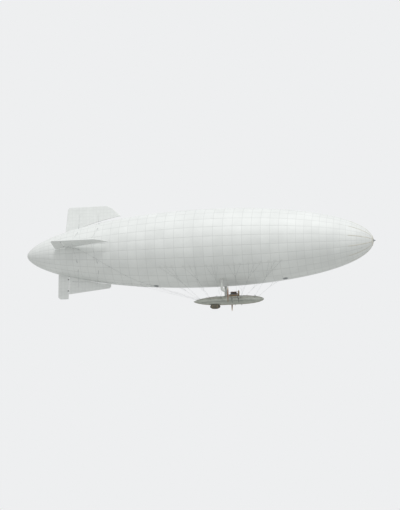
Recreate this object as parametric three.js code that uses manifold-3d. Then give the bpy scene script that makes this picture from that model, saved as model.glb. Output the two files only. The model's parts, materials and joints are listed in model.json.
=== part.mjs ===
// A 1920s non-rigid airship at half size: a fabric gas envelope with four fins, and an open car with
// two outrigger engines hung below it on wire bridles. Millimetres, +X to the nose, +Y to port, +Z up.
// The origin is the envelope's centre of lift, on its axis.
import * as THREE from "three";
import { mergeVertices } from "three/addons/utils/BufferGeometryUtils.js";
import Module from "manifold-3d";

const wasm = await Module();
wasm.setup();

// Driving dimensions. Sizes are those of the real ship in metres times M, so M carries the 1:2 scale.
const M = 500;
const shipLength = 59.7 * M;
const noseX = 28.3 * M;
const tailX = noseX - shipLength;
const seatGap = 0.3;

const envelope = {
  radius: 6.65 * M,
  noseSetBack: 0.35 * M,
  noseFullness: 0.49,
  tailFullness: 0.57,
  wall: 10,
  around: 40,
  rings: 20,
  mouth: 0.22 * M,
};
const car = {
  x: 3.35 * M,
  z: -9.4 * M,
  length: 12.0 * M,
  halfWidth: 0.74 * M,
  halfHeight: 0.72 * M,
  wall: 16,
  splitZ: -9.17 * M,
  floorZ: -9.9 * M,
  floorThickness: 20,
};
const engine = {
  x: 4.6 * M,
  y: 2.45 * M,
  z: -9.15 * M,
  bearerLength: 1.75 * M,
  bearerSpread: 0.2 * M,
  bearerDrop: 0.16 * M,
  propellerX: -1.04 * M,
  propellerRadius: 1.45 * M,
  shaftRadius: 24,
};

const finishes = {
  silverFabric: { color: 0xc9cbc8, roughness: 0.5, metalness: 0.25 },
  finFabric: { color: 0xbfc1be, roughness: 0.55, metalness: 0.2 },
  batten: { color: 0xb4b2a8, roughness: 0.6, metalness: 0.1 },
  steel: { color: 0x6f7274, roughness: 0.4, metalness: 0.8 },
  wire: { color: 0x54575a, roughness: 0.45, metalness: 0.8 },
  carSkin: { color: 0x3d4038, roughness: 0.55, metalness: 0.1 },
  floorWood: { color: 0x8a6b45, roughness: 0.7, metalness: 0 },
  leather: { color: 0x4a2f20, roughness: 0.6, metalness: 0 },
  glass: { color: 0xcfdadb, roughness: 0.05, metalness: 0 },
  bagCanvas: { color: 0x4b4740, roughness: 0.85, metalness: 0 },
  castAlloy: { color: 0x55585a, roughness: 0.5, metalness: 0.6 },
  radiatorBrass: { color: 0x5d4f38, roughness: 0.5, metalness: 0.6 },
  propellerWood: { color: 0x6a4426, roughness: 0.35, metalness: 0 },
  ductFabric: { color: 0x8f918c, roughness: 0.6, metalness: 0.2 },
  instrumentPanel: { color: 0x2e2c2a, roughness: 0.5, metalness: 0 },
};
const materials = Object.fromEntries(
  Object.entries(finishes).map(([name, look]) => [name, new THREE.MeshStandardMaterial(look)]),
);

const airship = new THREE.Group();
airship.name = "airship";

// Solids and placing

function solidOf(geometry) {
  const bare = geometry.clone();
  bare.deleteAttribute("normal");
  bare.deleteAttribute("uv");
  const merged = mergeVertices(bare, 1e-3);
  return new wasm.Manifold(
    new wasm.Mesh({
      numProp: 3,
      vertProperties: merged.attributes.position.array,
      triVerts: new Uint32Array(merged.index.array),
    }),
  );
}

function geometryOf(solid) {
  const mesh = solid.getMesh();
  const geometry = new THREE.BufferGeometry();
  geometry.setAttribute("position", new THREE.BufferAttribute(new Float32Array(mesh.vertProperties), 3));
  geometry.setIndex(new THREE.BufferAttribute(new Uint32Array(mesh.triVerts), 1));
  geometry.computeVertexNormals();
  return geometry;
}

const joined = (...solids) => solids.reduce((sum, one) => sum.add(one));

function add(name, solid, material, turn = 0) {
  const mesh = new THREE.Mesh(geometryOf(solid), material);
  mesh.name = name;
  mesh.rotation.x = turn;
  airship.add(mesh);
}

const vec = (x, y, z) => new THREE.Vector3(x, y, z);

function box(cx, cy, cz, lx, ly, lz) {
  return solidOf(new THREE.BoxGeometry(lx, ly, lz).translate(cx, cy, cz));
}

function rod(from, to, radius, sides = 6) {
  const along = to.clone().sub(from);
  const geometry = new THREE.CylinderGeometry(radius, radius, along.length(), sides);
  geometry.applyQuaternion(new THREE.Quaternion().setFromUnitVectors(vec(0, 1, 0), along.normalize()));
  const middle = from.clone().add(to).multiplyScalar(0.5);
  return solidOf(geometry.translate(middle.x, middle.y, middle.z));
}

function knot(at, radius) {
  return solidOf(new THREE.OctahedronGeometry(radius).translate(at.x, at.y, at.z));
}

// A closed profile of [radius, station] pairs turned about the ship's axis.
function turned(profile, sides) {
  const points = profile.map(([r, x]) => new THREE.Vector2(r, x));
  return solidOf(new THREE.LatheGeometry(points, sides).rotateZ(-Math.PI / 2));
}

// A flat outline of [x, z] pairs given a thickness across Y, with its edges chamfered.
function slab(outline, thickness, chamfer) {
  const shape = new THREE.Shape(outline.map(([x, z]) => new THREE.Vector2(x, z)));
  const geometry = new THREE.ExtrudeGeometry(shape, {
    depth: thickness - 2 * chamfer,
    bevelEnabled: chamfer > 0,
    bevelThickness: chamfer,
    bevelSize: chamfer,
    bevelOffset: -chamfer,
    bevelSegments: 1,
  });
  geometry.translate(0, 0, chamfer - thickness / 2);
  return solidOf(geometry.rotateX(Math.PI / 2));
}

// The envelope: a fabric bag of revolution, full forward and tapering to a rounded stern

const bagLength = shipLength - envelope.noseSetBack;
const bagNoseX = noseX - envelope.noseSetBack;
const { noseFullness: fore, tailFullness: aft } = envelope;
const fullest = fore / (fore + aft);
const peak = fullest ** fore * (1 - fullest) ** aft;

function bagRadius(x) {
  const s = Math.min(1, Math.max(0, (bagNoseX - x) / bagLength));
  return (envelope.radius * s ** fore * (1 - s) ** aft) / peak;
}

// The bag's profile from stern to nose, moved outwards by offset. Stations crowd at both ends.
// A solid profile closes on the axis; an open one stops at the edge of the mouth.
function bagProfile(offset, solid = true) {
  const step = 1;
  const points = [];
  for (let i = 1; i < envelope.rings; i++) {
    const s = (1 + Math.cos((Math.PI * i) / envelope.rings)) / 2;
    const x = bagNoseX - s * bagLength;
    const slope = (bagRadius(x + step) - bagRadius(x - step)) / (2 * step);
    const lean = Math.hypot(1, slope);
    points.push([bagRadius(x) + offset / lean, x - (offset * slope) / lean]);
  }
  points.unshift([0, tailX - offset]);
  points.push([envelope.mouth, bagNoseX + offset]);
  if (solid) points.push([0, bagNoseX + offset]);
  return points;
}

const bagOuter = bagProfile(0, false);
const bagInner = bagProfile(-envelope.wall, false).reverse();
add("envelope", turned([...bagOuter, ...bagInner], envelope.around), materials.silverFabric);

const bagCut = turned(bagProfile(seatGap), envelope.around);
const bagBand = (thickness) => turned(bagProfile(thickness), envelope.around).subtract(bagCut);

// Nose: battens radiating from a cap, and the mooring cone that plugs the bag's mouth

const batten = { count: 12, reach: 3.6 * M, width: 0.16 * M, thickness: 18 };
const noseCapRadius = 0.9 * M;
const cone = { plug: 60, flange: 24, clearance: 6, spindle: 0.07 * M, spindleLength: 60, around: 24 };
const coneEdge = envelope.mouth + cone.flange;

function noseBattens() {
  let star = rod(vec(bagNoseX - 2 * M, 0, 0), vec(noseX + M, 0, 0), noseCapRadius, cone.around);
  const arm = new THREE.BoxGeometry(2 * batten.reach, batten.width, 6 * M);
  for (let i = 0; i < batten.count; i++) {
    const spoke = arm.clone().translate(bagNoseX, 0, 3 * M).rotateX((2 * Math.PI * i) / batten.count);
    star = star.add(solidOf(spoke));
  }
  const hole = rod(vec(bagNoseX - M, 0, 0), vec(noseX + M, 0, 0), coneEdge + cone.clearance, cone.around);
  return star.intersect(bagBand(batten.thickness)).subtract(hole);
}
add("nose_battens", noseBattens(), materials.batten);

const plugEdge = envelope.mouth - cone.clearance;
const coneProfile = [
  [0, bagNoseX - cone.plug],
  [plugEdge, bagNoseX - cone.plug],
  [plugEdge, bagNoseX + seatGap],
  [coneEdge, bagNoseX + seatGap],
  [coneEdge, bagNoseX + cone.flange],
  [cone.spindle, noseX - cone.spindleLength],
  [cone.spindle, noseX],
  [0, noseX],
];
add("nose_cone", turned(coneProfile, cone.around), materials.steel);

// Tail fins. Each is drawn standing on top of the bag and then turned about the ship's axis.

const finThickness = 0.2 * M;
const finChamfer = 0.065 * M;
const surfaceShare = 0.8;
const rootClearance = 60;
const hingeA = 7.2 * M;
const fromTail = (a) => tailX + a;

// Outlines as [distance from the stern, height above the axis], in metres of the real ship.
const outlines = {
  top: [[6.5, 2.6], [18.2, 4.6], [14.6, 8.0], [13.8, 8.4], [7.3, 8.4], [7.0, 8.1]],
  side: [[7.34, 2.6], [17.0, 4.6], [13.9, 7.4], [13.0, 7.9], [7.34, 7.9]],
  bottom: [[7.34, 2.6], [14.6, 3.8], [14.6, 6.1], [14.35, 6.35], [7.34, 7.1]],
  elevator: [[5.5, 2.6], [7.2, 3.0], [7.2, 7.9], [5.9, 7.9], [5.5, 7.5]],
  rudder: [[5.5, 2.6], [7.2, 3.0], [7.2, 7.95], [5.9, 7.95], [5.5, 7.6]],
};
const lugHeights = { side: [4.7, 7.2], bottom: [4.5, 6.5] };
const scaled = (outline) => outline.map(([a, h]) => [fromTail(a * M), h * M]);

const lug = { radius: 34, bore: 13, pin: 12, height: 70, arm: 150, armThickness: 36 };
const notch = { height: 100, depth: 46, reach: 120 };
const hingeX = fromTail(hingeA);
const hingePost = (h, reach, radius, sides) =>
  rod(vec(hingeX, 0, h * M - reach), vec(hingeX, 0, h * M + reach), radius, sides);

// The arms and eyes on a fin's trailing edge that carry its rudder or elevator.
function hingeLugs(heights) {
  return heights.map((h) => {
    const eye = hingePost(h, lug.height / 2, lug.radius, 12);
    const arm = box(hingeX + lug.arm / 2, 0, h * M, lug.arm, lug.armThickness, lug.height - 10);
    return joined(eye, arm).subtract(hingePost(h, lug.height, lug.bore, 10));
  });
}

function fin(outline, heights = []) {
  return joined(slab(scaled(outline), finThickness, finChamfer).subtract(bagCut), ...hingeLugs(heights));
}

// A rudder or elevator: a rounded leading edge on the hinge line, notched at each lug, with its pin.
function controlSurface(outline, heights) {
  const clear = turned(bagProfile(rootClearance), envelope.around);
  const heightsOf = outline.map(([, h]) => h * M);
  const blade = slab(scaled(outline), finThickness * surfaceShare, finChamfer * surfaceShare);
  const edgeFrom = vec(hingeX, 0, Math.min(...heightsOf));
  const edgeTo = vec(hingeX, 0, Math.max(...heightsOf) - 20);
  const leadingEdge = rod(edgeFrom, edgeTo, (finThickness * surfaceShare) / 2, 12);
  let surface = joined(blade, leadingEdge).subtract(clear);
  for (const h of heights) {
    const notchLength = notch.reach + 2 * notch.depth;
    const cut = box(hingeX + notch.reach / 2, 0, h * M, notchLength, finThickness * 2, notch.height);
    surface = surface.subtract(cut).add(hingePost(h, notch.height, lug.pin, 10));
  }
  return surface;
}

const finTurns = { top: 0, starboard: Math.PI / 2, bottom: Math.PI, port: -Math.PI / 2 };
add("fin_top", fin(outlines.top), materials.finFabric, finTurns.top);
add("fin_bottom", fin(outlines.bottom, lugHeights.bottom), materials.finFabric, finTurns.bottom);
add("rudder", controlSurface(outlines.rudder, lugHeights.bottom), materials.finFabric, finTurns.bottom);
for (const side of ["port", "starboard"]) {
  const elevator = controlSurface(outlines.elevator, lugHeights.side);
  add(`fin_${side}`, fin(outlines.side, lugHeights.side), materials.finFabric, finTurns[side]);
  add(`elevator_${side}`, elevator, materials.finFabric, finTurns[side]);
}

// The car: a streamlined body, decked over, with three open cockpits

const carStations = 14;
const carAround = 20;
const carEndShare = 0.12;
const carSquareness = 0.72;

// Share of the full section at t, from -1 at the car's stern to 1 at its bow.
function carFullness(t) {
  return t > 0 ? (1 - t ** 3.6) ** 0.6 : (1 - Math.abs(t) ** 3) ** 0.8;
}

// The car's body, moved outwards by offset: a cylinder whose rings are drawn in at both ends.
function carBody(offset) {
  const geometry = new THREE.CylinderGeometry(1, 1, 2, carAround, carStations).rotateZ(-Math.PI / 2);
  const place = geometry.attributes.position;
  for (let i = 0; i < place.count; i++) {
    const t = Math.sin((place.getX(i) * Math.PI) / 2);
    const rim = Math.hypot(place.getY(i), place.getZ(i));
    const angle = Math.atan2(place.getZ(i), place.getY(i));
    const size = rim < 1e-6 ? 0 : Math.max(carEndShare, carFullness(t));
    const across = Math.sign(Math.cos(angle)) * Math.abs(Math.cos(angle)) ** carSquareness;
    const up = Math.sign(Math.sin(angle)) * Math.abs(Math.sin(angle)) ** carSquareness;
    place.setXYZ(
      i,
      car.x + t * (car.length / 2 + offset),
      size * across * (car.halfWidth + offset),
      car.z + size * up * (car.halfHeight + offset),
    );
  }
  return solidOf(geometry);
}

const carOuter = carBody(0);
const carInner = carBody(-car.wall);
// The rings' flat facets need a little more than the seat gap between two of these bodies.
const facetGap = seatGap + 0.4;
const carCut = carBody(facetGap);
const carRoom = carBody(-car.wall - facetGap);
const wholeCar = 1.2 * car.length;
const above = (z) => box(car.x, 0, z + M, wholeCar, 3 * M, 2 * M);

// Cockpits as [name, aft edge, fore edge, seats abreast], in metres from the car's middle.
const cockpits = [
  ["fore", 2.55, 4.45, 2],
  ["mid", -0.75, 1.15, 2],
  ["aft", -3.75, -2.05, 1],
];
const cockpitHalfWidth = 0.5 * M;

function cockpitHole([, aftEdge, foreEdge]) {
  const [a, b] = [car.x + aftEdge * M, car.x + foreEdge * M];
  const round = 0.25 * M;
  const shape = new THREE.Shape();
  shape.moveTo(a + round, -cockpitHalfWidth);
  shape.lineTo(b - round, -cockpitHalfWidth);
  shape.absarc(b - round, -cockpitHalfWidth + round, round, -Math.PI / 2, 0);
  shape.absarc(b - round, cockpitHalfWidth - round, round, 0, Math.PI / 2);
  shape.absarc(a + round, cockpitHalfWidth - round, round, Math.PI / 2, Math.PI);
  shape.absarc(a + round, -cockpitHalfWidth + round, round, Math.PI, 1.5 * Math.PI);
  const geometry = new THREE.ExtrudeGeometry(shape, { depth: 2 * M, bevelEnabled: false, curveSegments: 4 });
  return solidOf(geometry.translate(0, 0, car.splitZ));
}

add("car_hull", carOuter.subtract(carInner).subtract(above(car.splitZ)), materials.carSkin);

// The deck comes in three lengths, one round each cockpit, that meet halfway between the cockpits.
const deck = carOuter.subtract(carInner).intersect(above(car.splitZ + seatGap));
const deckJoins = [6.2, 1.85, -1.4, -6.2];
cockpits.forEach((cockpit, i) => {
  const [foreEnd, aftEnd] = [deckJoins[i], deckJoins[i + 1]].map((a) => car.x + a * M);
  const length = foreEnd - aftEnd - seatGap;
  const slice = box((foreEnd + aftEnd) / 2, 0, car.splitZ, length, 3 * M, 4 * M);
  add(`car_cowling_${cockpit[0]}`, deck.intersect(slice).subtract(cockpitHole(cockpit)), materials.carSkin);
});

const floor = box(car.x, 0, car.floorZ - car.floorThickness / 2, 9.6 * M, 2 * M, car.floorThickness);
add("car_floor", floor.intersect(carRoom), materials.floorWood);

// Seats: a boxed pan with a raked back, on the floor
const seat = { width: 0.42 * M, depth: 0.46 * M, height: 0.34 * M, back: 0.5 * M, pad: 0.09 * M };
const seatPitch = 0.5 * M;
const seatSetBack = 0.52 * M;

function seatSolid(x, y) {
  const base = car.floorZ + seatGap;
  const pan = box(x, y, base + seat.height / 2, seat.depth, seat.width, seat.height);
  const back = new THREE.BoxGeometry(seat.pad, seat.width, seat.back + 40);
  back.rotateY(-0.16).translate(x - seat.depth / 2 - 8, y, base + seat.height + seat.back / 2 - 20);
  return joined(pan, solidOf(back));
}

for (const [name, aftEdge, , abreast] of cockpits) {
  const x = car.x + aftEdge * M + seatSetBack;
  if (abreast === 1) add(`seat_${name}`, seatSolid(x, 0), materials.leather);
  else
    for (const [side, sign] of [["port", 1], ["starboard", -1]])
      add(`seat_${name}_${side}`, seatSolid(x, (sign * seatPitch) / 2), materials.leather);
}

// Windscreens: a raked pane standing on the cowling ahead of each cockpit
const screen = { width: 0.8 * M, height: 0.46 * M, thickness: 12, rake: 0.5, ahead: 0.06 * M };

for (const [name, , foreEdge] of cockpits) {
  const along = foreEdge * M + screen.ahead;
  const deck = car.z + carFullness(along / (car.length / 2)) * car.halfHeight;
  const pane = new THREE.BoxGeometry(screen.thickness, screen.width, screen.height);
  pane.rotateY(-screen.rake).translate(car.x + along, 0, deck + 30);
  add(`windscreen_${name}`, solidOf(pane).subtract(carCut), materials.glass);
}

// Instrument board and the two hand wheels in the fore cockpit
const boardX = car.x + 4.35 * M;
const boardHeight = car.floorZ + 0.62 * M;
const panel = (grown) => box(boardX, 0, boardHeight, 24 + 2 * grown, 1.9 * M, 0.5 * M);
add("instrument_board", panel(0).intersect(carRoom), materials.instrumentPanel);

const handWheel = { radius: 0.24 * M, rim: 9, spoke: 6, column: 12, hub: 24 };

function handWheelSolid(turn, hub, foot) {
  const ring = new THREE.TorusGeometry(handWheel.radius, handWheel.rim, 5, 16);
  let wheel = solidOf(ring.clone().applyMatrix4(turn).translate(hub.x, hub.y, hub.z));
  for (let i = 0; i < 2; i++) {
    const spoke = vec(handWheel.radius, 0, 0).applyAxisAngle(vec(0, 0, 1), (i * Math.PI) / 2);
    const reach = spoke.applyMatrix4(turn);
    wheel = wheel.add(rod(hub.clone().add(reach), hub.clone().sub(reach), handWheel.spoke));
  }
  return joined(wheel, rod(hub, foot, handWheel.column, 8), knot(hub, handWheel.hub));
}

const rudderHub = vec(car.x + 3.85 * M, -seatPitch / 2, boardHeight);
const tilt = new THREE.Matrix4().makeRotationY(Math.PI / 2 - 0.35);
const rudderColumnFoot = vec(boardX, rudderHub.y, rudderHub.z - 60);
add(
  "rudder_wheel",
  handWheelSolid(tilt, rudderHub, rudderColumnFoot).subtract(panel(seatGap)),
  materials.steel,
);

const elevatorHub = vec(car.x + 3.72 * M, 0.36 * M, car.floorZ + 0.5 * M);
const upright = new THREE.Matrix4().makeRotationX(Math.PI / 2);
const elevatorFoot = vec(elevatorHub.x, elevatorHub.y, car.floorZ + seatGap);
add("elevator_wheel", handWheelSolid(upright, elevatorHub, elevatorFoot), materials.steel);

// Air-filled landing bumper under the after part of the car, with a flat wearing sole
const bumper = {
  x: car.x - 2.3 * M,
  z: -10.38 * M,
  soleZ: -10.74 * M,
  halfLength: 0.85 * M,
  halfWidth: 0.483 * M,
  halfHeight: 0.42 * M,
};

function bumperSolid() {
  const geometry = new THREE.SphereGeometry(1, 20, 12);
  geometry.scale(bumper.halfLength, bumper.halfWidth, bumper.halfHeight);
  const bag = solidOf(geometry.translate(bumper.x, 0, bumper.z));
  const below = box(bumper.x, 0, bumper.soleZ - M, 4 * M, 4 * M, 2 * M);
  return bag.subtract(below).subtract(carCut);
}
add("bumper_bag", bumperSolid(), materials.bagCanvas);

// Engines on outriggers: bearers carried by tubes from the car, a V8 on them, radiator ahead, propeller aft

const bearerZ = engine.z - engine.bearerDrop;
const bearer = { width: 0.07 * M, height: 0.14 * M };
const tubeRadius = 0.032 * M;
const tubeZ = bearerZ - 0.095 * M;
const outriggerStations = [-0.55 * M, 0.55 * M];
const outriggerTip = 0.58 * M;
const strutY = 1.35 * M;
const blockBase = bearerZ + bearer.height / 2 + seatGap;

function outriggerSolid(side) {
  const y = side * engine.y;
  const beams = [-1, 1].map((k) =>
    box(engine.x, y + k * engine.bearerSpread, bearerZ, engine.bearerLength, bearer.width, bearer.height),
  );
  const parts = [...beams];
  for (const station of outriggerStations) {
    const x = engine.x + station;
    const outer = vec(x, y + side * outriggerTip, tubeZ);
    const high = vec(x, side * 0.6 * M, tubeZ + 0.01 * M);
    const inner = vec(x, y - side * engine.bearerSpread, tubeZ);
    const low = vec(x, side * 0.45 * M, car.z - 0.52 * M);
    parts.push(rod(outer, high, tubeRadius, 8), rod(inner, low, tubeRadius, 8));
  }
  const [first, last] = outriggerStations.map((s) => engine.x + s);
  parts.push(rod(vec(first, side * strutY, tubeZ), vec(last, side * strutY, tubeZ), tubeRadius * 0.7));
  return joined(...parts).subtract(carCut);
}

// The engine's sizes, its heights measured from the top of its bearers.
const block = {
  length: 1.15 * M,
  setBack: 0.05 * M,
  width: 0.3 * M,
  height: 0.28 * M,
  footHeight: 0.06 * M,
  sump: 0.1 * M,
  bankWidth: 0.2 * M,
  bankHeight: 0.42 * M,
  bankLift: 0.16 * M,
  pipeOut: 0.42 * M,
  pipeUp: 0.36 * M,
  pipeRadius: 0.045 * M,
  noseRadius: 0.13 * M,
  noseLength: 70,
};
const portStations = [-0.36 * M, -0.12 * M, 0.12 * M, 0.36 * M];

function engineSolid(side) {
  const y = side * engine.y;
  const x = engine.x - block.setBack;
  const footZ = blockBase + block.footHeight / 2;
  const footWidth = 2 * engine.bearerSpread + bearer.width;
  const parts = [
    box(x, y, blockBase + block.height / 2, block.length, block.width, block.height),
    box(x, y, footZ, block.length * 0.9, footWidth, block.footHeight),
    rod(vec(x - block.length * 0.46, y, footZ), vec(x + block.length * 0.46, y, footZ), block.sump, 10),
  ];
  for (const lean of [-1, 1]) {
    const bank = new THREE.BoxGeometry(block.length * 0.86, block.bankWidth, block.bankHeight);
    bank.translate(0, 0, 0.3 * M).rotateX((-lean * Math.PI) / 4).translate(x, y, blockBase + block.bankLift);
    const pipeY = y + lean * block.pipeOut;
    const pipeZ = blockBase + block.pipeUp;
    parts.push(solidOf(bank));
    parts.push(rod(vec(x + 0.45 * M, pipeY, pipeZ), vec(x - 0.62 * M, pipeY, pipeZ), block.pipeRadius, 8));
    for (const k of portStations)
      parts.push(rod(vec(x + k, y + lean * 0.25 * M, pipeZ), vec(x + k, pipeY, pipeZ), 0.03 * M));
  }
  const blockEnd = x - block.length / 2;
  const shaftFrom = vec(blockEnd + 20, y, engine.z);
  parts.push(rod(shaftFrom, vec(engine.x + engine.propellerX - 60, y, engine.z), engine.shaftRadius, 16));
  parts.push(rod(shaftFrom, vec(blockEnd - block.noseLength, y, engine.z), block.noseRadius, 12));
  return joined(...parts);
}

// A slab radiator with an arched top, standing on the fore ends of the bearers
const radiator = { width: 0.72 * M, shoulder: 0.576 * M, thickness: 0.13 * M, ahead: 0.74 * M };

function radiatorSolid(side) {
  const half = radiator.width / 2;
  const shape = new THREE.Shape();
  shape.moveTo(-half, 0);
  shape.lineTo(half, 0);
  shape.lineTo(half, radiator.shoulder);
  shape.absarc(0, radiator.shoulder - half, half * Math.SQRT2, Math.PI / 4, (3 * Math.PI) / 4);
  shape.lineTo(-half, 0);
  const geometry = new THREE.ExtrudeGeometry(shape, {
    depth: radiator.thickness,
    bevelEnabled: false,
    curveSegments: 8,
  });
  geometry.rotateX(Math.PI / 2).rotateZ(Math.PI / 2);
  return solidOf(geometry.translate(engine.x + radiator.ahead, side * engine.y, blockBase));
}

// A two-bladed wooden propeller: boxes drawn out into blades that taper and twist to the tips
const propellerHub = { radius: 0.13 * M, length: 0.16 * M, boreClearance: 1 };

function propellerSolid(side) {
  const blade = new THREE.BoxGeometry(1, 1, 1, 2, 1, 8).translate(0, 0, 0.5);
  const place = blade.attributes.position;
  for (let i = 0; i < place.count; i++) {
    const t = place.getZ(i);
    const chord = (0.1 + 0.17 * Math.sin(Math.PI * Math.min(1, 0.25 + 0.62 * t))) * M;
    const thick = (0.1 * (1 - t) + 0.02) * M;
    const tip = t > 0.99 ? 0.45 : 1;
    const twist = side * (0.95 - 0.62 * t);
    const across = place.getY(i) * chord * tip;
    const deep = place.getX(i) * thick * (Math.abs(place.getY(i)) > 0.4 ? 0.5 : 1);
    place.setXYZ(
      i,
      deep * Math.cos(twist) - across * Math.sin(twist),
      deep * Math.sin(twist) + across * Math.cos(twist),
      t * engine.propellerRadius,
    );
  }
  const halfHub = propellerHub.length / 2;
  const hub = rod(vec(-halfHub, 0, 0), vec(halfHub, 0, 0), propellerHub.radius, 16);
  const bore = rod(vec(-M, 0, 0), vec(M, 0, 0), engine.shaftRadius + propellerHub.boreClearance, 16);
  const propeller = joined(solidOf(blade), solidOf(blade.clone().rotateX(Math.PI)), hub).subtract(bore);
  return propeller.translate([engine.x + engine.propellerX, side * engine.y, engine.z]);
}

// Air scoop in the propeller's wash, its damper shut, and the duct that feeds the bag's air cells
const scoop = { behind: 0.3 * M, up: 0.72 * M, radius: 0.24 * M, lip: 0.27 * M, throat: 0.21 * M, depth: 55 };

function ductSolid(side) {
  const mouth = engine.x + engine.propellerX - scoop.behind;
  const y = side * engine.y;
  const mouthZ = engine.z + scoop.up;
  const route = new THREE.CatmullRomCurve3([
    vec(mouth, y, mouthZ),
    vec(mouth - 0.3 * M, y, mouthZ + 0.02 * M),
    vec(mouth - 0.62 * M, y, mouthZ + 0.28 * M),
    vec(mouth - 0.75 * M, y * 0.98, mouthZ + 0.98 * M),
    vec(mouth - 0.75 * M, y * 0.9, mouthZ + 2.88 * M),
  ]);
  const shape = new THREE.Shape().absarc(0, 0, scoop.radius, 0, 2 * Math.PI);
  const duct = solidOf(new THREE.ExtrudeGeometry(shape, { steps: 9, extrudePath: route, curveSegments: 5 }));
  const lip = rod(vec(mouth + 20, y, mouthZ), vec(mouth - 40, y, mouthZ), scoop.lip, 12);
  const throat = rod(vec(mouth + 60, y, mouthZ), vec(mouth - scoop.depth, y, mouthZ), scoop.throat, 12);
  return joined(duct, lip).subtract(throat).subtract(bagCut);
}

for (const [name, side] of [["port", 1], ["starboard", -1]]) {
  add(`outrigger_${name}`, outriggerSolid(side), materials.steel);
  add(`engine_${name}`, engineSolid(side), materials.castAlloy);
  add(`radiator_${name}`, radiatorSolid(side), materials.radiatorBrass);
  add(`propeller_${name}`, propellerSolid(side), materials.propellerWood);
  add(`air_duct_${name}`, ductSolid(side), materials.ductFabric);
}

// Suspension: wire bridles from fittings on the car up to finger patches on the bag's lower flanks

const wireRadius = 4;
const knotRadius = 20;
const flank = -Math.PI / 4;
const patch = { length: 0.5 * M, width: 0.34 * M, thickness: 8 };

function flankPoint(x, side, lift) {
  const r = bagRadius(x) + lift;
  return vec(x, side * r * Math.cos(flank), r * Math.sin(flank));
}

// Bridles as [name, foot from the car's middle, head from the car's middle], in metres.
const bridles = [
  ["1", 4.4, 8.4],
  ["2", 2.1, 5.0],
  ["4", -1.2, -2.2],
  ["5", -3.0, -6.0],
  ["6", -4.7, -10.0],
];
const fingerSpread = 1.0 * M;

function bridleSolid(foot, headX, side) {
  const hub = flankPoint(headX, side, 0).lerp(foot, 0.42);
  const parts = [rod(foot, hub, wireRadius, 4), knot(hub, knotRadius), knot(foot, knotRadius)];
  for (const k of [-1, 0, 1]) {
    const head = flankPoint(headX + k * fingerSpread, side, -patch.thickness);
    parts.push(rod(head, hub, wireRadius, 4));
    const pad = new THREE.BoxGeometry(patch.length, patch.width, 0.6 * M);
    pad.rotateX(-side * (Math.PI / 2 + flank)).translate(head.x, head.y, head.z);
    parts.push(solidOf(pad).intersect(bagBand(patch.thickness)));
  }
  return joined(...parts).subtract(bagCut);
}

for (const [name, side] of [["port", 1], ["starboard", -1]]) {
  for (const [number, footShare, headShare] of bridles) {
    const t = (footShare * M) / (car.length / 2);
    const edge = side * (carFullness(t) * car.halfWidth + 8);
    const foot = vec(car.x + footShare * M, edge, car.splitZ - 0.06 * M);
    const solid = bridleSolid(foot, car.x + headShare * M, side).subtract(carCut);
    add(`bridle_${name}_${number}`, solid, materials.wire);
  }
  const tip = side * (engine.y + outriggerTip - 20);
  const foot = vec(engine.x + outriggerStations[1], tip, tubeZ + tubeRadius + knotRadius + seatGap);
  add(`bridle_${name}_3`, bridleSolid(foot, engine.x + 0.35 * M, side), materials.wire);
}

// Valves: flanged discs on the bag, air valves below and the gas valve on top
const valve = { radius: 0.45 * M, rise: 0.1 * M };

function valveSolid(x, up) {
  const r = bagRadius(x);
  const disc = new THREE.CylinderGeometry(valve.radius * 0.7, valve.radius, 0.5 * M, 20).rotateX(Math.PI / 2);
  if (up < 0) disc.rotateX(Math.PI);
  disc.translate(x, 0, up * (r - 0.25 * M + valve.rise));
  return solidOf(disc).subtract(bagCut);
}
const valves = [
  ["air_valve_fore", 13 * M, -1],
  ["air_valve_aft", -9 * M, -1],
  ["gas_valve", -4 * M, 1],
];
for (const [name, x, up] of valves) add(name, valveSolid(x, up), materials.steel);

export default airship;
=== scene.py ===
"""A 1920s airship at half size: a gas bag of aluminium-doped cotton with four fins, and an open
two-engined car hung below it on wires. Metres, +X to the nose, +Y to port, +Z up."""
import json
import math

import bmesh
import bpy
from mathutils import Matrix, Vector

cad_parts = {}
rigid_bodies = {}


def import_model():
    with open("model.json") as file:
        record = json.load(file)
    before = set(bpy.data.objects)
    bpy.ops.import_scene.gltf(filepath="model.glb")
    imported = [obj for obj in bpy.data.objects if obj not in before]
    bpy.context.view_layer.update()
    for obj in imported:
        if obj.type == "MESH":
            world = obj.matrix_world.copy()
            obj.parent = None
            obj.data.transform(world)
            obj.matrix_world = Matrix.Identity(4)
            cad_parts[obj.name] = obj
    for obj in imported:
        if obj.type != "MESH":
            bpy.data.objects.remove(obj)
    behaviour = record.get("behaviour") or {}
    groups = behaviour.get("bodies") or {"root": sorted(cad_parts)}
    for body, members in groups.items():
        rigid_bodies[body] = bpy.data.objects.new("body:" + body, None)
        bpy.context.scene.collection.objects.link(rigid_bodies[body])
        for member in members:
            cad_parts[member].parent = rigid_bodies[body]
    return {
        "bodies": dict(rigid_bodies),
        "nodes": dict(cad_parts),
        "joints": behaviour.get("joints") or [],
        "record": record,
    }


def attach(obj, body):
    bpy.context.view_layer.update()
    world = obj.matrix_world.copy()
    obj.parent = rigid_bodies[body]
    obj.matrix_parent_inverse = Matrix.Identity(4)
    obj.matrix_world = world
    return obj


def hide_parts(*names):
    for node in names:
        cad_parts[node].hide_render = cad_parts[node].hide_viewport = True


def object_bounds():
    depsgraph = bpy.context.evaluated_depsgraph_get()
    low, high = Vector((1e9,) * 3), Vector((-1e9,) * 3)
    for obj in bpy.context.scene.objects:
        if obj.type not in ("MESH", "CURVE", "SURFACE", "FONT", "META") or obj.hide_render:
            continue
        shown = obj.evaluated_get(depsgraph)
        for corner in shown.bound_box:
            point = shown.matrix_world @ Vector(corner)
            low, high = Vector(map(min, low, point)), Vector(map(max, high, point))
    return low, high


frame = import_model()
cad_low, cad_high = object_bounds()
scene = bpy.context.scene
scene.view_settings.view_transform = "Standard"

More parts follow.
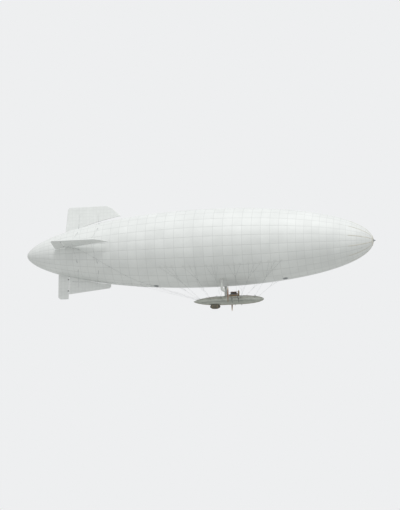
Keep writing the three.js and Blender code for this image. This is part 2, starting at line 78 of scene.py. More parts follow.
# Camera: the photograph looks up at the ship from the ground, from a little ahead of its starboard
# beam, through a long lens. The camera stands on the floor.
PHOTO_AZIMUTH = math.radians(8.8)
PHOTO_ELEVATION = math.radians(-17.3)
SHIP_LENGTHS_AWAY = 8.76
FILM_WIDTH = 36
LENS = 218
EYE_HEIGHT = 0.8
ship_length = cad_high.x - cad_low.x
aim = Vector(((cad_low.x + cad_high.x) / 2, 0, (cad_low.z + cad_high.z) / 2))
back = Vector((
    math.sin(PHOTO_AZIMUTH) * math.cos(PHOTO_ELEVATION),
    -math.cos(PHOTO_AZIMUTH) * math.cos(PHOTO_ELEVATION),
    math.sin(PHOTO_ELEVATION),
))
camera_data = bpy.data.cameras.new("photo_camera")
camera_data.sensor_fit = "AUTO"
camera_data.sensor_width = FILM_WIDTH
camera_data.lens = LENS
camera_data.clip_start = 1
camera_data.clip_end = 4000
camera = bpy.data.objects.new("photo_camera", camera_data)
camera.location = aim + back * (SHIP_LENGTHS_AWAY * ship_length)
camera.rotation_mode = "QUATERNION"
camera.rotation_quaternion = (-back).to_track_quat("-Z", "Y")
scene.collection.objects.link(camera)
scene.camera = camera
floor_z = camera.location.z - EYE_HEIGHT

# Daylight: a bright hazy sky all round, and a soft high sun ahead of the ship and a little to its
# starboard side. The floor is plain and pale.
SKY_GREY = "EEEFF0"
FLOOR_GREY = "C4C5C3"
FLOOR_REACH = 2500


def linear(hex_code):
    """An sRGB hex colour as linear RGBA."""
    shares = [int(hex_code[i:i + 2], 16) / 255 for i in (0, 2, 4)]
    return tuple(c / 12.92 if c <= 0.04045 else ((c + 0.055) / 1.055) ** 2.4 for c in shares) + (1,)


def add_node(tree, kind, inputs=None, **settings):
    """Adds a node; inputs maps a socket's name or number to a value or to another node's output."""
    made = tree.nodes.new(kind)
    for name, value in settings.items():
        setattr(made, name, value)
    for key, value in (inputs or {}).items():
        if isinstance(value, bpy.types.NodeSocket):
            tree.links.new(value, made.inputs[key])
        else:
            made.inputs[key].default_value = value
    return made


world = bpy.data.worlds.new("hazy_sky")
world.use_nodes = True
world.node_tree.nodes["Background"].inputs["Color"].default_value = linear(SKY_GREY)
world.node_tree.nodes["Background"].inputs["Strength"].default_value = 1.0
scene.world = world
sun_lamp = bpy.data.lights.new("high_sun", "SUN")
sun_lamp.energy = 1.5
sun_lamp.angle = math.radians(25)
sun = bpy.data.objects.new("high_sun", sun_lamp)
sun.rotation_mode = "QUATERNION"
sun.rotation_quaternion = Vector((0.2, -0.6, 0.8)).to_track_quat("Z", "Y")
scene.collection.objects.link(sun)


def new_material(name):
    """A material with its node tree and its Principled shader."""
    material = bpy.data.materials.new(name)
    material.use_nodes = True
    return material, material.node_tree, material.node_tree.nodes["Principled BSDF"]


def piece_from(name, shape, material, sharp=35):
    """A mesh object at the origin, outward faced, smooth but for edges sharper than the given angle."""
    vertices, faces = shape
    mesh = bpy.data.meshes.new(name)
    mesh.from_pydata([tuple(v) for v in vertices], [], faces)
    work = bmesh.new()
    work.from_mesh(mesh)
    bmesh.ops.remove_doubles(work, verts=work.verts, dist=0.00001)
    bmesh.ops.recalc_face_normals(work, faces=work.faces)
    if work.calc_volume(signed=True) < 0:
        bmesh.ops.reverse_faces(work, faces=work.faces)
    work.to_mesh(mesh)
    work.free()
    mesh.materials.append(material)
    mesh.shade_smooth()
    mesh.set_sharp_from_angle(angle=math.radians(sharp))
    made = bpy.data.objects.new(name, mesh)
    scene.collection.objects.link(made)
    return made


floor_paint, floor_tree, floor_shader = new_material("pale_floor")
floor_shader.inputs["Base Color"].default_value = linear(FLOOR_GREY)
floor_shader.inputs["Roughness"].default_value = 0.9
corners = [(sx * FLOOR_REACH, sy * FLOOR_REACH, floor_z) for sx, sy in ((-1, -1), (1, -1), (1, 1), (-1, 1))]
piece_from("floor", (corners, [(0, 1, 2, 3)]), floor_paint)

# Gas bag: aluminium-doped cotton panels sewn into long gores, with tape cemented over every seam. Gas
# pressure swells each panel a little between its seams. Its radius follows one formula from nose to
# stern, which is a node group, so that the skin and all that is laid along it share it.
HALF = 0.5
BAG_NOSE = 27.95 * HALF
BAG_LENGTH = 59.35 * HALF
BAG_TAIL = BAG_NOSE - BAG_LENGTH
BAG_RADIUS = 6.65 * HALF
NOSE_FULLNESS = 0.49
TAIL_FULLNESS = 0.57
END_CROWDING = 0.6
GORES = 24
PANELS = 48
fullest = NOSE_FULLNESS / (NOSE_FULLNESS + TAIL_FULLNESS)
bag_peak = fullest ** NOSE_FULLNESS * (1 - fullest) ** TAIL_FULLNESS


def bag_radius(x):
    """The bag's radius at a station."""
    s = min(1, max(0, (BAG_NOSE - x) / BAG_LENGTH))
    return BAG_RADIUS * s ** NOSE_FULLNESS * (1 - s) ** TAIL_FULLNESS / bag_peak


def on_bag(x, angle, lift=0.0):
    """A point on the bag at a station and an angle up from port, raised by lift."""
    r = bag_radius(x) + lift
    return Vector((x, r * math.cos(angle), r * math.sin(angle)))


def fit(piece, slot, *nodes, body="airship"):
    """Puts a piece on its body and hides the solids that it stands for. The slot is not used."""
    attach(piece, body)
    if nodes:
        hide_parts(*nodes)
    return piece


def settle(piece):
    """Turns a piece's modifiers into plain mesh."""
    shaped = piece.evaluated_get(bpy.context.evaluated_depsgraph_get())
    mesh = bpy.data.meshes.new_from_object(shaped)
    piece.modifiers.clear()
    piece.data = mesh
    mesh.name = piece.name
    return piece


def tree_with(name, **sockets):
    """An empty Geometry Nodes tree and its inputs, given as name=default, or name="material"."""
    tree = bpy.data.node_groups.new(name, "GeometryNodeTree")
    kinds = {float: "NodeSocketFloat", int: "NodeSocketInt", str: "NodeSocketMaterial"}
    tree.interface.new_socket("Base", in_out="INPUT", socket_type="NodeSocketGeometry")
    for label, default in sockets.items():
        made = tree.interface.new_socket(label, in_out="INPUT", socket_type=kinds[type(default)])
        if default != "material":
            made.default_value = default
    tree.interface.new_socket("Result", in_out="OUTPUT", socket_type="NodeSocketGeometry")
    return tree, add_node(tree, "NodeGroupInput").outputs


def close_tree(tree, geometry, material):
    """Ends a tree in realized copies, smooth faces and the piece's material."""
    real = add_node(tree, "GeometryNodeRealizeInstances", {"Geometry": geometry})
    smooth = add_node(tree, "GeometryNodeSetShadeSmooth", {"Geometry": real.outputs[0]})
    dressed = add_node(tree, "GeometryNodeSetMaterial", {"Geometry": smooth.outputs[0], "Material": material})
    add_node(tree, "NodeGroupOutput", {0: dressed.outputs[0]})


def grow(name, tree, base=None, **values):
    """Runs a tree on a base mesh and keeps its result as a plain mesh object."""
    made = bpy.data.objects.new(name, base or bpy.data.meshes.new("base"))
    scene.collection.objects.link(made)
    modifier = made.modifiers.new("grow", "NODES")
    modifier.node_group = tree
    for item in tree.interface.items_tree:
        if item.in_out == "INPUT" and item.name in values:
            modifier[item.identifier] = values[item.name]
    return settle(made)


def maths(tree, operation, *values):
    """The result of one sum on numbers or outputs."""
    return add_node(tree, "ShaderNodeMath", dict(enumerate(values)), operation=operation).outputs[0]


def bag_formula():
    """A node group: the bag's station and radius at a way along it, its stations crowded at the ends."""
    group = bpy.data.node_groups.new("gas_bag_formula", "GeometryNodeTree")
    group.interface.new_socket("Along", in_out="INPUT", socket_type="NodeSocketFloat")
    for label in ("Station", "Radius"):
        group.interface.new_socket(label, in_out="OUTPUT", socket_type="NodeSocketFloat")
    along = add_node(group, "NodeGroupInput").outputs["Along"]
    cosine = maths(group, "COSINE", maths(group, "MULTIPLY", along, math.pi))
    eased = maths(group, "MULTIPLY_ADD", cosine, -0.5, 0.5)
    mixed = add_node(group, "ShaderNodeMix", {0: END_CROWDING, 2: along, 3: eased}).outputs[0]
    share = add_node(group, "ShaderNodeClamp", {"Value": mixed}).outputs[0]
    fore = maths(group, "POWER", share, NOSE_FULLNESS)
    aft = maths(group, "POWER", maths(group, "SUBTRACT", 1.0, share), TAIL_FULLNESS)
    radius = maths(group, "MULTIPLY", maths(group, "MULTIPLY", fore, aft), BAG_RADIUS / bag_peak)
    station = maths(group, "MULTIPLY_ADD", share, -BAG_LENGTH, BAG_NOSE)
    add_node(group, "NodeGroupOutput", {0: station, 1: radius})
    return group


bag_group = bag_formula()


def bag_at(tree, along):
    """The bag's station and radius at a way along it, in a tree."""
    formula = add_node(tree, "GeometryNodeGroup", {}, node_tree=bag_group)
    tree.links.new(along, formula.inputs["Along"])
    return formula.outputs["Station"], formula.outputs["Radius"]


def arch(tree, cells):
    """From a count of cells, a swelling that is 0 at each cell's edge and 1 at its middle."""
    part = maths(tree, "FRACT", cells)
    return maths(tree, "MULTIPLY", maths(tree, "MULTIPLY", part, maths(tree, "SUBTRACT", 1.0, part)), 4.0)


def unit_grid(tree, columns, rows):
    """A grid one unit square, and its two coordinates from 0 to 1."""
    sizes = {"Size X": 1.0, "Size Y": 1.0, "Vertices X": columns, "Vertices Y": rows}
    grid = add_node(tree, "GeometryNodeMeshGrid", sizes)
    spot = add_node(tree, "GeometryNodeInputPosition").outputs[0]
    moved = add_node(tree, "ShaderNodeVectorMath", {0: spot, 1: (0.5, 0.5, 0)}).outputs[0]
    sides = add_node(tree, "ShaderNodeSeparateXYZ", {"Vector": moved}).outputs
    return grid.outputs["Mesh"], sides["X"], sides["Y"]


def gas_bag_tree():
    """The bag's skin: a grid rolled up by the formula, each panel swelled between its seams."""
    tree, given = tree_with("gas_bag", Gores=GORES, Panels=PANELS, Columns=8, Rows=5, Swell=0.008, Cloth="material")
    columns = maths(tree, "MULTIPLY_ADD", given["Gores"], given["Columns"], 1.0)
    rows = maths(tree, "MULTIPLY_ADD", given["Panels"], given["Rows"], 1.0)
    grid, turn, along = unit_grid(tree, columns, rows)
    gore = maths(tree, "MULTIPLY", turn, given["Gores"])
    panel = maths(tree, "MULTIPLY", along, given["Panels"])
    cells = add_node(tree, "ShaderNodeCombineXYZ", {"X": gore, "Y": panel}).outputs[0]
    named = {"Geometry": grid, "Name": "UVMap", "Value": cells}
    stored = add_node(tree, "GeometryNodeStoreNamedAttribute", named, data_type="FLOAT2", domain="CORNER").outputs[0]
    station, radius = bag_at(tree, along)
    between = maths(tree, "MULTIPLY_ADD", arch(tree, panel), 0.4, 0.6)
    swell = maths(tree, "MULTIPLY", maths(tree, "MULTIPLY", arch(tree, gore), between), given["Swell"])
    fading = add_node(tree, "ShaderNodeClamp", {"Value": radius}).outputs[0]
    swollen = maths(tree, "MULTIPLY_ADD", swell, fading, radius)
    angle = maths(tree, "MULTIPLY", turn, 2 * math.pi)
    y = maths(tree, "MULTIPLY", swollen, maths(tree, "COSINE", angle))
    z = maths(tree, "MULTIPLY", swollen, maths(tree, "SINE", angle))
    place = add_node(tree, "ShaderNodeCombineXYZ", {"X": station, "Y": y, "Z": z}).outputs[0]
    rolled = add_node(tree, "GeometryNodeSetPosition", {"Geometry": stored, "Position": place}).outputs[0]
    closed = add_node(tree, "GeometryNodeMergeByDistance", {"Geometry": rolled, "Distance": 0.001}).outputs[0]
    close_tree(tree, add_node(tree, "GeometryNodeFlipFaces", {"Mesh": closed}).outputs[0], given["Cloth"])
    return tree


def strip_tree():
    """Flat strips that lie along the bag from end to end, evenly spaced round it: tapes or battens."""
    tree, given = tree_with(
        "strips_along_the_bag", Count=24, Steps=80, First=0.1, Last=0.9, Width=0.03, Thickness=0.002, Finish="material"
    )
    grid, round_it, share = unit_grid(tree, 9, maths(tree, "ADD", given["Steps"], 1.0))
    along = add_node(tree, "ShaderNodeMix", {0: share, 2: given["First"], 3: given["Last"]}).outputs[0]
    centred = maths(tree, "MULTIPLY_ADD", share, 2.0, -1.0)
    taper = maths(tree, "SQRT", maths(tree, "SUBTRACT", 1.0, maths(tree, "POWER", centred, 20.0)))
    angle = maths(tree, "MULTIPLY", round_it, 2 * math.pi)
    wide = maths(tree, "MULTIPLY", maths(tree, "MULTIPLY", given["Width"], 0.5), taper)
    thick = maths(tree, "MULTIPLY", given["Thickness"], taper)
    side = maths(tree, "MULTIPLY", wide, maths(tree, "COSINE", angle))
    station, radius = bag_at(tree, along)
    under = maths(tree, "SUBTRACT", maths(tree, "POWER", radius, 2.0), maths(tree, "MULTIPLY", side, side))
    height = maths(tree, "MULTIPLY_ADD", thick, maths(tree, "SINE", angle), maths(tree, "SQRT", under))
    place = add_node(tree, "ShaderNodeCombineXYZ", {"X": station, "Y": side, "Z": height}).outputs[0]
    laid = add_node(tree, "GeometryNodeSetPosition", {"Geometry": grid, "Position": place}).outputs[0]
    closed = add_node(tree, "GeometryNodeMergeByDistance", {"Geometry": laid, "Distance": 0.0001}).outputs[0]
    outward = add_node(tree, "GeometryNodeFlipFaces", {"Mesh": closed}).outputs[0]
    places = add_node(tree, "GeometryNodeMeshLine", {"Count": given["Count"], "Offset": (0, 0, 0)}).outputs[0]
    number = add_node(tree, "GeometryNodeInputIndex").outputs[0]
    roll = maths(tree, "MULTIPLY", number, maths(tree, "DIVIDE", 2 * math.pi, given["Count"]))
    turned_by = add_node(tree, "ShaderNodeCombineXYZ", {"X": roll}).outputs[0]
    placed = {"Points": places, "Instance": outward, "Rotation": turned_by}
    close_tree(tree, add_node(tree, "GeometryNodeInstanceOnPoints", placed).outputs[0], given["Finish"])
    return tree


def doped_cotton(name, pale, dark, tape, tape_share):
    """Aluminium-doped cotton: a soft silver sheen, tapes over the seams and a slightly different tone
    in every panel. The wrinkles are drawn several times as coarse as real ones, so that they show."""
    material, tree, shader = new_material(name)
    cells = add_node(tree, "ShaderNodeUVMap", uv_map="UVMap").outputs["UV"]
    place = add_node(tree, "ShaderNodeTexCoord").outputs["Object"]
    whole = add_node(tree, "ShaderNodeVectorMath", {0: cells}, operation="FLOOR").outputs[0]
    tone = add_node(tree, "ShaderNodeTexWhiteNoise", {"Vector": whole}, noise_dimensions="3D").outputs["Value"]
    cloud = add_node(tree, "ShaderNodeTexNoise", {"Vector": place, "Scale": 0.35, "Detail": 6.0, "Roughness": 0.65})
    mixed = maths(tree, "MULTIPLY_ADD", tone, 0.14, cloud.outputs["Fac"])
    shade = add_node(tree, "ShaderNodeMapRange", {"Value": mixed, "From Min": 0.3, "From Max": 0.85})
    tones = {0: shade.outputs["Result"], 6: linear(dark), 7: linear(pale)}
    cloth = add_node(tree, "ShaderNodeMix", tones, data_type="RGBA").outputs[2]
    part = add_node(tree, "ShaderNodeVectorMath", {0: cells}, operation="FRACTION").outputs[0]
    middle = add_node(tree, "ShaderNodeVectorMath", {0: part, 1: (0.5, 0.5, 0)}, operation="SUBTRACT").outputs[0]
    away = add_node(tree, "ShaderNodeVectorMath", {0: middle}, operation="ABSOLUTE").outputs[0]
    across = add_node(tree, "ShaderNodeSeparateXYZ", {"Vector": away}).outputs
    ends = []
    for axis, width in zip(("X", "Y"), tape_share):
        band = {"Value": across[axis], "From Min": 0.5 - width, "From Max": 0.5 - 0.6 * width}
        ends.append(add_node(tree, "ShaderNodeMapRange", band).outputs["Result"])
    taped = maths(tree, "MAXIMUM", *ends)
    colours = {0: maths(tree, "MULTIPLY", taped, 0.3), 6: cloth, 7: linear(tape)}
    colour = add_node(tree, "ShaderNodeMix", colours, data_type="RGBA").outputs[2]
    tree.links.new(colour, shader.inputs["Base Color"])
    wrinkle = add_node(tree, "ShaderNodeTexNoise", {"Vector": place, "Scale": 3.0, "Detail": 5.0})
    height = maths(tree, "MULTIPLY_ADD", wrinkle.outputs["Fac"], 1.2, taped)
    bump = add_node(tree, "ShaderNodeBump", {"Height": height, "Distance": 0.002, "Strength": 0.7})
    tree.links.new(bump.outputs["Normal"], shader.inputs["Normal"])
    shader.inputs["Roughness"].default_value = 0.62
    shader.inputs["Metallic"].default_value = 0.08
    shader.inputs["Specular IOR Level"].default_value = 0.35
    return material


bag_cloth = doped_cotton("aluminium_doped_cotton", "DDDFDD", "CED0CE", "A4A6A4", (0.03, 0.03))
gas_bag = grow("gas_bag", gas_bag_tree(), Cloth=bag_cloth)
fit(gas_bag, "bag_fabric", "envelope")


# Gore tapes: narrow doped cotton tape cemented along the seams between the gores. Its edges stand up
# a little and catch the light.
def finish(name, pale, dark, patch_mm, rough, metallic=0.0, grain_mm=4, relief_mm=0.3, stretch=(1, 1, 1), **sockets):
    """A surface that wanders between two colours in patches, with a fine grain raised from it."""
    material, tree, shader = new_material(name)
    place = add_node(tree, "ShaderNodeTexCoord").outputs["Object"]
    drawn = add_node(tree, "ShaderNodeMapping", {"Vector": place, "Scale": stretch}).outputs["Vector"]
    cloud = {"Vector": drawn, "Scale": 1000 / patch_mm, "Detail": 5.0, "Roughness": 0.6}
    patches = add_node(tree, "ShaderNodeTexNoise", cloud).outputs["Fac"]
    grain = add_node(tree, "ShaderNodeTexNoise", {"Vector": drawn, "Scale": 1000 / grain_mm, "Detail": 2.0})
    shade = add_node(tree, "ShaderNodeMapRange", {"Value": patches, "From Min": 0.3, "From Max": 0.7})
    tones = {0: shade.outputs["Result"], 6: linear(dark), 7: linear(pale)}
    colour = add_node(tree, "ShaderNodeMix", tones, data_type="RGBA").outputs[2]
    tree.links.new(colour, shader.inputs["Base Color"])
    gloss_range = {"From Min": 0.3, "From Max": 0.7, "To Min": rough + 0.08, "To Max": rough - 0.08}
    gloss = add_node(tree, "ShaderNodeMapRange", {"Value": patches, **gloss_range})
    tree.links.new(gloss.outputs["Result"], shader.inputs["Roughness"])
    relief = {"Height": grain.outputs["Fac"], "Distance": relief_mm / 1000, "Strength": 0.6}
    bump = add_node(tree, "ShaderNodeBump", relief)
    tree.links.new(bump.outputs["Normal"], shader.inputs["Normal"])
    shader.inputs["Metallic"].default_value = metallic
    for socket, value in sockets.items():
        shader.inputs[socket.replace("_", " ")].default_value = value
    return material


strips = strip_tree()
# The weave of the tape is drawn at 9 mm, far coarser than real cotton.
tape_cloth = finish("doped_cotton_tape", "CBCDCB", "BCBEBC", 400, 0.55, 0.1, grain_mm=9, relief_mm=0.4)
tapes = grow(
    "gore_tapes", strips, Count=GORES, Steps=120, First=0.012, Last=0.99, Width=0.036, Thickness=0.003, Finish=tape_cloth
)
fit(tapes, "bag_fabric")


# Nose battens: spruce laths under doped fabric that keep the bag's nose from being pushed in. They
# spread from a plywood cap, and the cast mooring cone is bolted through its middle.
def skin(rings, capped=True, looped=False):
    """A surface over closed rings of points, closed at its ends or joined round to its start."""
    around = len(rings[0])
    vertices = [p for ring in rings for p in ring]
    faces = []
    for i in range(len(rings) if looped else len(rings) - 1):
        near, far = i * around, (i + 1) % len(rings) * around
        for j in range(around):
            k = (j + 1) % around
            faces.append((near + j, near + k, far + k, far + j))
    if capped and not looped:
        faces += [tuple(reversed(range(around))), tuple(range(len(vertices) - around, len(vertices)))]
    return vertices, faces


def merged(*shapes):
    """Several shapes as one."""
    vertices, faces = [], []
    for points, sides in shapes:
        start = len(vertices)
        vertices += points
        faces += [tuple(i + start for i in face) for face in sides]
    return vertices, faces


def facing(location, direction=(0, 0, 1)):
    """A placing that turns +Z to a direction and moves the origin to a location."""
    turn = Vector(direction).to_track_quat("Z", "Y").to_matrix().to_4x4()
    return Matrix.Translation(Vector(location)) @ turn


def turned(profile, around=24, placing=Matrix(), looped=False):
    """Pairs of radius and height turned about Z and placed. A looped profile makes a ring."""
    circle = [(math.cos(2 * math.pi * j / around), math.sin(2 * math.pi * j / around)) for j in range(around)]
    rings = [[placing @ Vector((max(r, 0.0002) * c, max(r, 0.0002) * s, h)) for c, s in circle] for r, h in profile]
    return skin(rings, looped=looped)


def nose_station(radius):
    """The station near the nose at which the bag has a given radius."""
    low, high = BAG_NOSE - 2, BAG_NOSE
    for _ in range(40):
        middle = (low + high) / 2
        low, high = (middle, high) if bag_radius(middle) > radius else (low, middle)
    return low


def nose_cap():
    """The plywood cap: a thin dished disc that follows the bag, with a hole for the cone."""
    reach = [0.145 + 0.305 * i / 14 for i in range(15)]
    outer = [(r + 0.004, nose_station(r) + 0.018) for r in reach]
    inner = [(r, nose_station(r) - 0.004) for r in reversed(reach)]
    return turned(outer + inner, 72, facing((0, 0, 0), (1, 0, 0)), looped=True)


spruce = finish("doped_spruce", "CFCDC4", "B9B7AD", 300, 0.6, grain_mm=6, relief_mm=0.4, stretch=(0.2, 1, 1))
battens = grow(
    "nose_battens_faired", strips, Count=12, Steps=60, First=0.006, Last=0.119, Width=0.08, Thickness=0.018, Finish=spruce
)
fit(battens, "batten", "nose_battens")
fit(piece_from("nose_cap", nose_cap(), spruce), "batten")

cone_metal = finish("cast_aluminium", "A4A6A8", "85888A", 60, 0.42, 0.75, grain_mm=3, relief_mm=0.3)
cone_profile = [
    (0, -0.06), (0.104, -0.06), (0.104, 0.001), (0.132, 0.001), (0.134, 0.004), (0.134, 0.012), (0.13, 0.016),
    (0.112, 0.018), (0.098, 0.024), (0.078, 0.044), (0.062, 0.072), (0.052, 0.1), (0.046, 0.115), (0.046, 0.128),
    (0.036, 0.132), (0.035, 0.17), (0.032, 0.175), (0, 0.175),
]
cone = turned(cone_profile, 48, facing((BAG_NOSE, 0, 0), (1, 0, 0)))
fit(piece_from("mooring_cone", cone, cone_metal), "nose_metal", "nose_cone")


# Bolt and screw heads: low domes set into whatever they hold down. One tree places them all, and the
# rings on the nose are the first. They are drawn half as large again as real ones.
def head_tree():
    """Dome heads at a base mesh's points, each facing along the point's own direction."""
    tree, given = tree_with("bolt_heads", Radius=0.006, Height=0.5, Finish="material")
    ball = add_node(tree, "GeometryNodeMeshUVSphere", {"Segments": 8, "Rings": 4, "Radius": given["Radius"]})
    low = add_node(tree, "ShaderNodeCombineXYZ", {"X": 1.0, "Y": 1.0, "Z": given["Height"]}).outputs[0]
    dome = add_node(tree, "GeometryNodeTransform", {"Geometry": ball.outputs["Mesh"], "Scale": low}).outputs[0]
    named = add_node(tree, "GeometryNodeInputNamedAttribute", {"Name": "out"}, data_type="FLOAT_VECTOR")
    aligned = {"Vector": named.outputs["Attribute"]}
    turn = add_node(tree, "FunctionNodeAlignRotationToVector", aligned, axis="Z").outputs[0]
    placed = {"Points": given["Base"], "Instance": dome, "Rotation": turn}
    close_tree(tree, add_node(tree, "GeometryNodeInstanceOnPoints", placed).outputs[0], given["Finish"])
    return tree


heads = head_tree()
head_metal = finish("zinc_plated_steel", "8F9294", "6E7173", 30, 0.4, 0.85, grain_mm=3, relief_mm=0.1)


def bolt_heads(name, spots, radius):
    """A piece of dome heads, from pairs of place and direction."""
    base = bpy.data.meshes.new("spots")
    base.from_pydata([tuple(place) for place, _ in spots], [], [])
    out = base.attributes.new("out", "FLOAT_VECTOR", "POINT")
    for number, (_, direction) in enumerate(spots):
        out.data[number].vector = direction
    return grow(name, heads, base, Radius=radius, Finish=head_metal)


def ring_of(count, radius, placing):
    """Places and directions of a ring of heads about a placing's +Z."""
    angles = [2 * math.pi * (i + 0.5) / count for i in range(count)]
    up = placing.to_3x3() @ Vector((0, 0, 1))
    return [(placing @ Vector((radius * math.cos(a), radius * math.sin(a), 0)), up) for a in angles]


nose_heads = ring_of(12, 0.121, facing((BAG_NOSE + 0.015, 0, 0), (1, 0, 0)))
for rim in (0.17, 0.42):
    nose_heads += ring_of(24, rim, facing((nose_station(rim) + 0.02, 0, 0), (1, 0, 0)))
fit(bolt_heads("nose_bolts", nose_heads, 0.009), "nose_metal")

# Tail fins: doped cotton laced over a frame of spruce ribs and spars. The cover sinks a little between
# the ribs, which show as taped lines, and each fin's root is cemented down on the bag.
FIN_DEPTH = 0.05
FIN_EDGE = 0.05
RIB_PITCH = 0.3
RIB_SAG = 0.004
WEAVE_STEP = 0.06
EDGE_SHARES = (0.03, 0.12, 0.3, 0.6)
EDGE_WELD = 0.0001
fin_turns = {"top": 0, "starboard": math.pi / 2, "bottom": math.pi, "port": -math.pi / 2}


def evenly(points, step):
    """Points along a line with its corners kept, no further apart than a step."""
    spaced = [points[0]]
    for start, end in zip(points, points[1:]):
        count = max(1, math.ceil((end - start).length / step))
        spaced += [start.lerp(end, i / count) for i in range(1, count + 1)]
    return spaced


def from_edge(point, start, end):
    """How far a point is from a straight edge."""
    along = end - start
    share = max(0, min(1, (point - start).dot(along) / along.length_squared))
    return (point - start - along * share).length


def hump(cells):
    """0 at each whole number and 1 halfway between two."""
    part = cells % 1
    return 4 * part * (1 - part)


def covered_panel(rear_foot, rim, front_foot, depths, root_lift):
    """A fabric-covered panel that stands on the top of the bag, as a shape and its flat outline.
    Points are distance from the stern and height above the axis, in metres of the real ship."""
    rear_foot, front_foot, *rim = [Vector(p) * HALF for p in (rear_foot, front_foot, *rim)]
    columns = evenly(rim, WEAVE_STEP)
    near_rear = [columns[0].lerp(columns[1], share) for share in EDGE_SHARES]
    near_front = [columns[-1].lerp(columns[-2], share) for share in reversed(EDGE_SHARES)]
    columns = [columns[0], *near_rear, *columns[1:-1], *near_front, columns[-1]]
    run = sum((b - a).length for a, b in zip(columns, columns[1:]))
    count = math.ceil(max((columns[0] - rear_foot).length, (columns[-1] - front_foot).length) / WEAVE_STEP)
    rows = [row / count for row in range(count)] + [1 - share / count for share in reversed(EDGE_SHARES)] + [1]
    edges = list(zip([rear_foot, *rim], [*rim, front_foot]))
    sheet = []
    passed = 0
    for number, top in enumerate(columns):
        if number:
            passed += (top - columns[number - 1]).length
        share = passed / run
        foot = rear_foot.lerp(front_foot, share)
        for _ in range(12):
            rise = max(0, min(1, (bag_radius(BAG_TAIL + foot.x) + root_lift - rear_foot.y) / (top.y - rear_foot.y)))
            foot = rear_foot.lerp(front_foot, share).lerp(top, rise)
        for row in rows:
            point = foot.lerp(top, row)
            near = max(0, min(from_edge(point, *edge) for edge in edges) - EDGE_WELD)
            round_off = math.sqrt(max(0, 1 - (1 - min(1, near / FIN_EDGE)) ** 2))
            depth = (depths[0] + (depths[1] - depths[0]) * share) * round_off
            sag = RIB_SAG * hump(point.x / RIB_PITCH) * hump(point.y / RIB_PITCH) * min(1, near / (2 * FIN_EDGE))
            sheet.append((BAG_TAIL + point.x, max(0, depth - sag), point.y))
    high, total = len(rows), len(sheet)
    vertices = [Vector((x, side * y, z)) for side in (1, -1) for x, y, z in sheet]
    faces = []
    for i in range(len(columns) - 1):
        for j in range(high - 1):
            a, b, c, d = i * high + j, (i + 1) * high + j, (i + 1) * high + j + 1, i * high + j + 1
            faces += [(a, b, c, d), (d + total, c + total, b + total, a + total)]
        faces.append((i * high, i * high + total, (i + 1) * high + total, (i + 1) * high))
    return vertices, faces


def lay_ribs(piece):
    """Gives a panel the pattern coordinates that its rib tapes follow."""
    mesh = piece.data
    pattern = mesh.uv_layers.new(name="UVMap")
    for loop in mesh.loops:
        place = mesh.vertices[loop.vertex_index].co
        pattern.data[loop.index].uv = ((place.x - BAG_TAIL) / RIB_PITCH, place.z / RIB_PITCH)


fin_cloth = doped_cotton("doped_cotton_on_ribs", "DEE0DE", "D2D4D2", "C2C4C2", (0.06, 0.06))
fin_shapes = {
    "top": ((6.5, 2.6), [(7.0, 8.1), (7.3, 8.4), (13.8, 8.4), (14.6, 8.0)], (18.2, 4.6)),
    "bottom": ((7.34, 2.6), [(7.34, 7.1), (14.35, 6.35), (14.6, 6.1)], (14.6, 3.8)),
    "port": ((7.34, 2.6), [(7.34, 7.9), (13.0, 7.9), (13.9, 7.4)], (17.0, 4.6)),
    "starboard": ((7.34, 2.6), [(7.34, 7.9), (13.0, 7.9), (13.9, 7.4)], (17.0, 4.6)),
}
for place, (rear_foot, rim, front_foot) in fin_shapes.items():
    fin = piece_from(f"fin_cover_{place}", covered_panel(rear_foot, rim, front_foot, (FIN_DEPTH, FIN_DEPTH), -0.04), fin_cloth)
    lay_ribs(fin)
    fin.data.transform(Matrix.Rotation(fin_turns[place], 4, "X"))
    fit(fin, "fin_fabric", f"fin_{place}")

# Rudder and elevators: the same covered frames, thinner and drawn to an edge behind. Each has a round
# leading edge on its hinge line, and is cut away where the fin's hinge brackets reach in.
HINGE_X = BAG_TAIL + 7.2 * HALF
NOTCH = {"from": HINGE_X - 0.046, "to": HINGE_X + 0.166, "height": 0.1}
hinge_heights = {"port": (4.7, 7.2), "starboard": (4.7, 7.2), "bottom": (4.5, 6.5)}


def block(size, centre, placing=Matrix(), soft=0.004):
    """A solid with straight sides and rounded edges."""
    work = bmesh.new()
    bmesh.ops.create_cube(work, size=1, matrix=Matrix.Translation(Vector(centre)) @ Matrix.Diagonal((*size, 1)))
    bmesh.ops.bevel(work, geom=work.edges[:], offset=soft, segments=2, profile=0.6, affect="EDGES")
    work.verts.index_update()
    shape = [placing @ v.co for v in work.verts], [tuple(v.index for v in face.verts) for face in work.faces]
    work.free()
    return shape


def cut_from(piece, cutter_shape):
    """Takes closed shapes out of a piece."""
    cutter = piece_from("cutter", cutter_shape, piece.data.materials[0])
    modifier = piece.modifiers.new("cut", "BOOLEAN")
    modifier.operation = "DIFFERENCE"
    modifier.solver = "EXACT"
    modifier.object = cutter
    settle(piece)
    bpy.data.objects.remove(cutter)


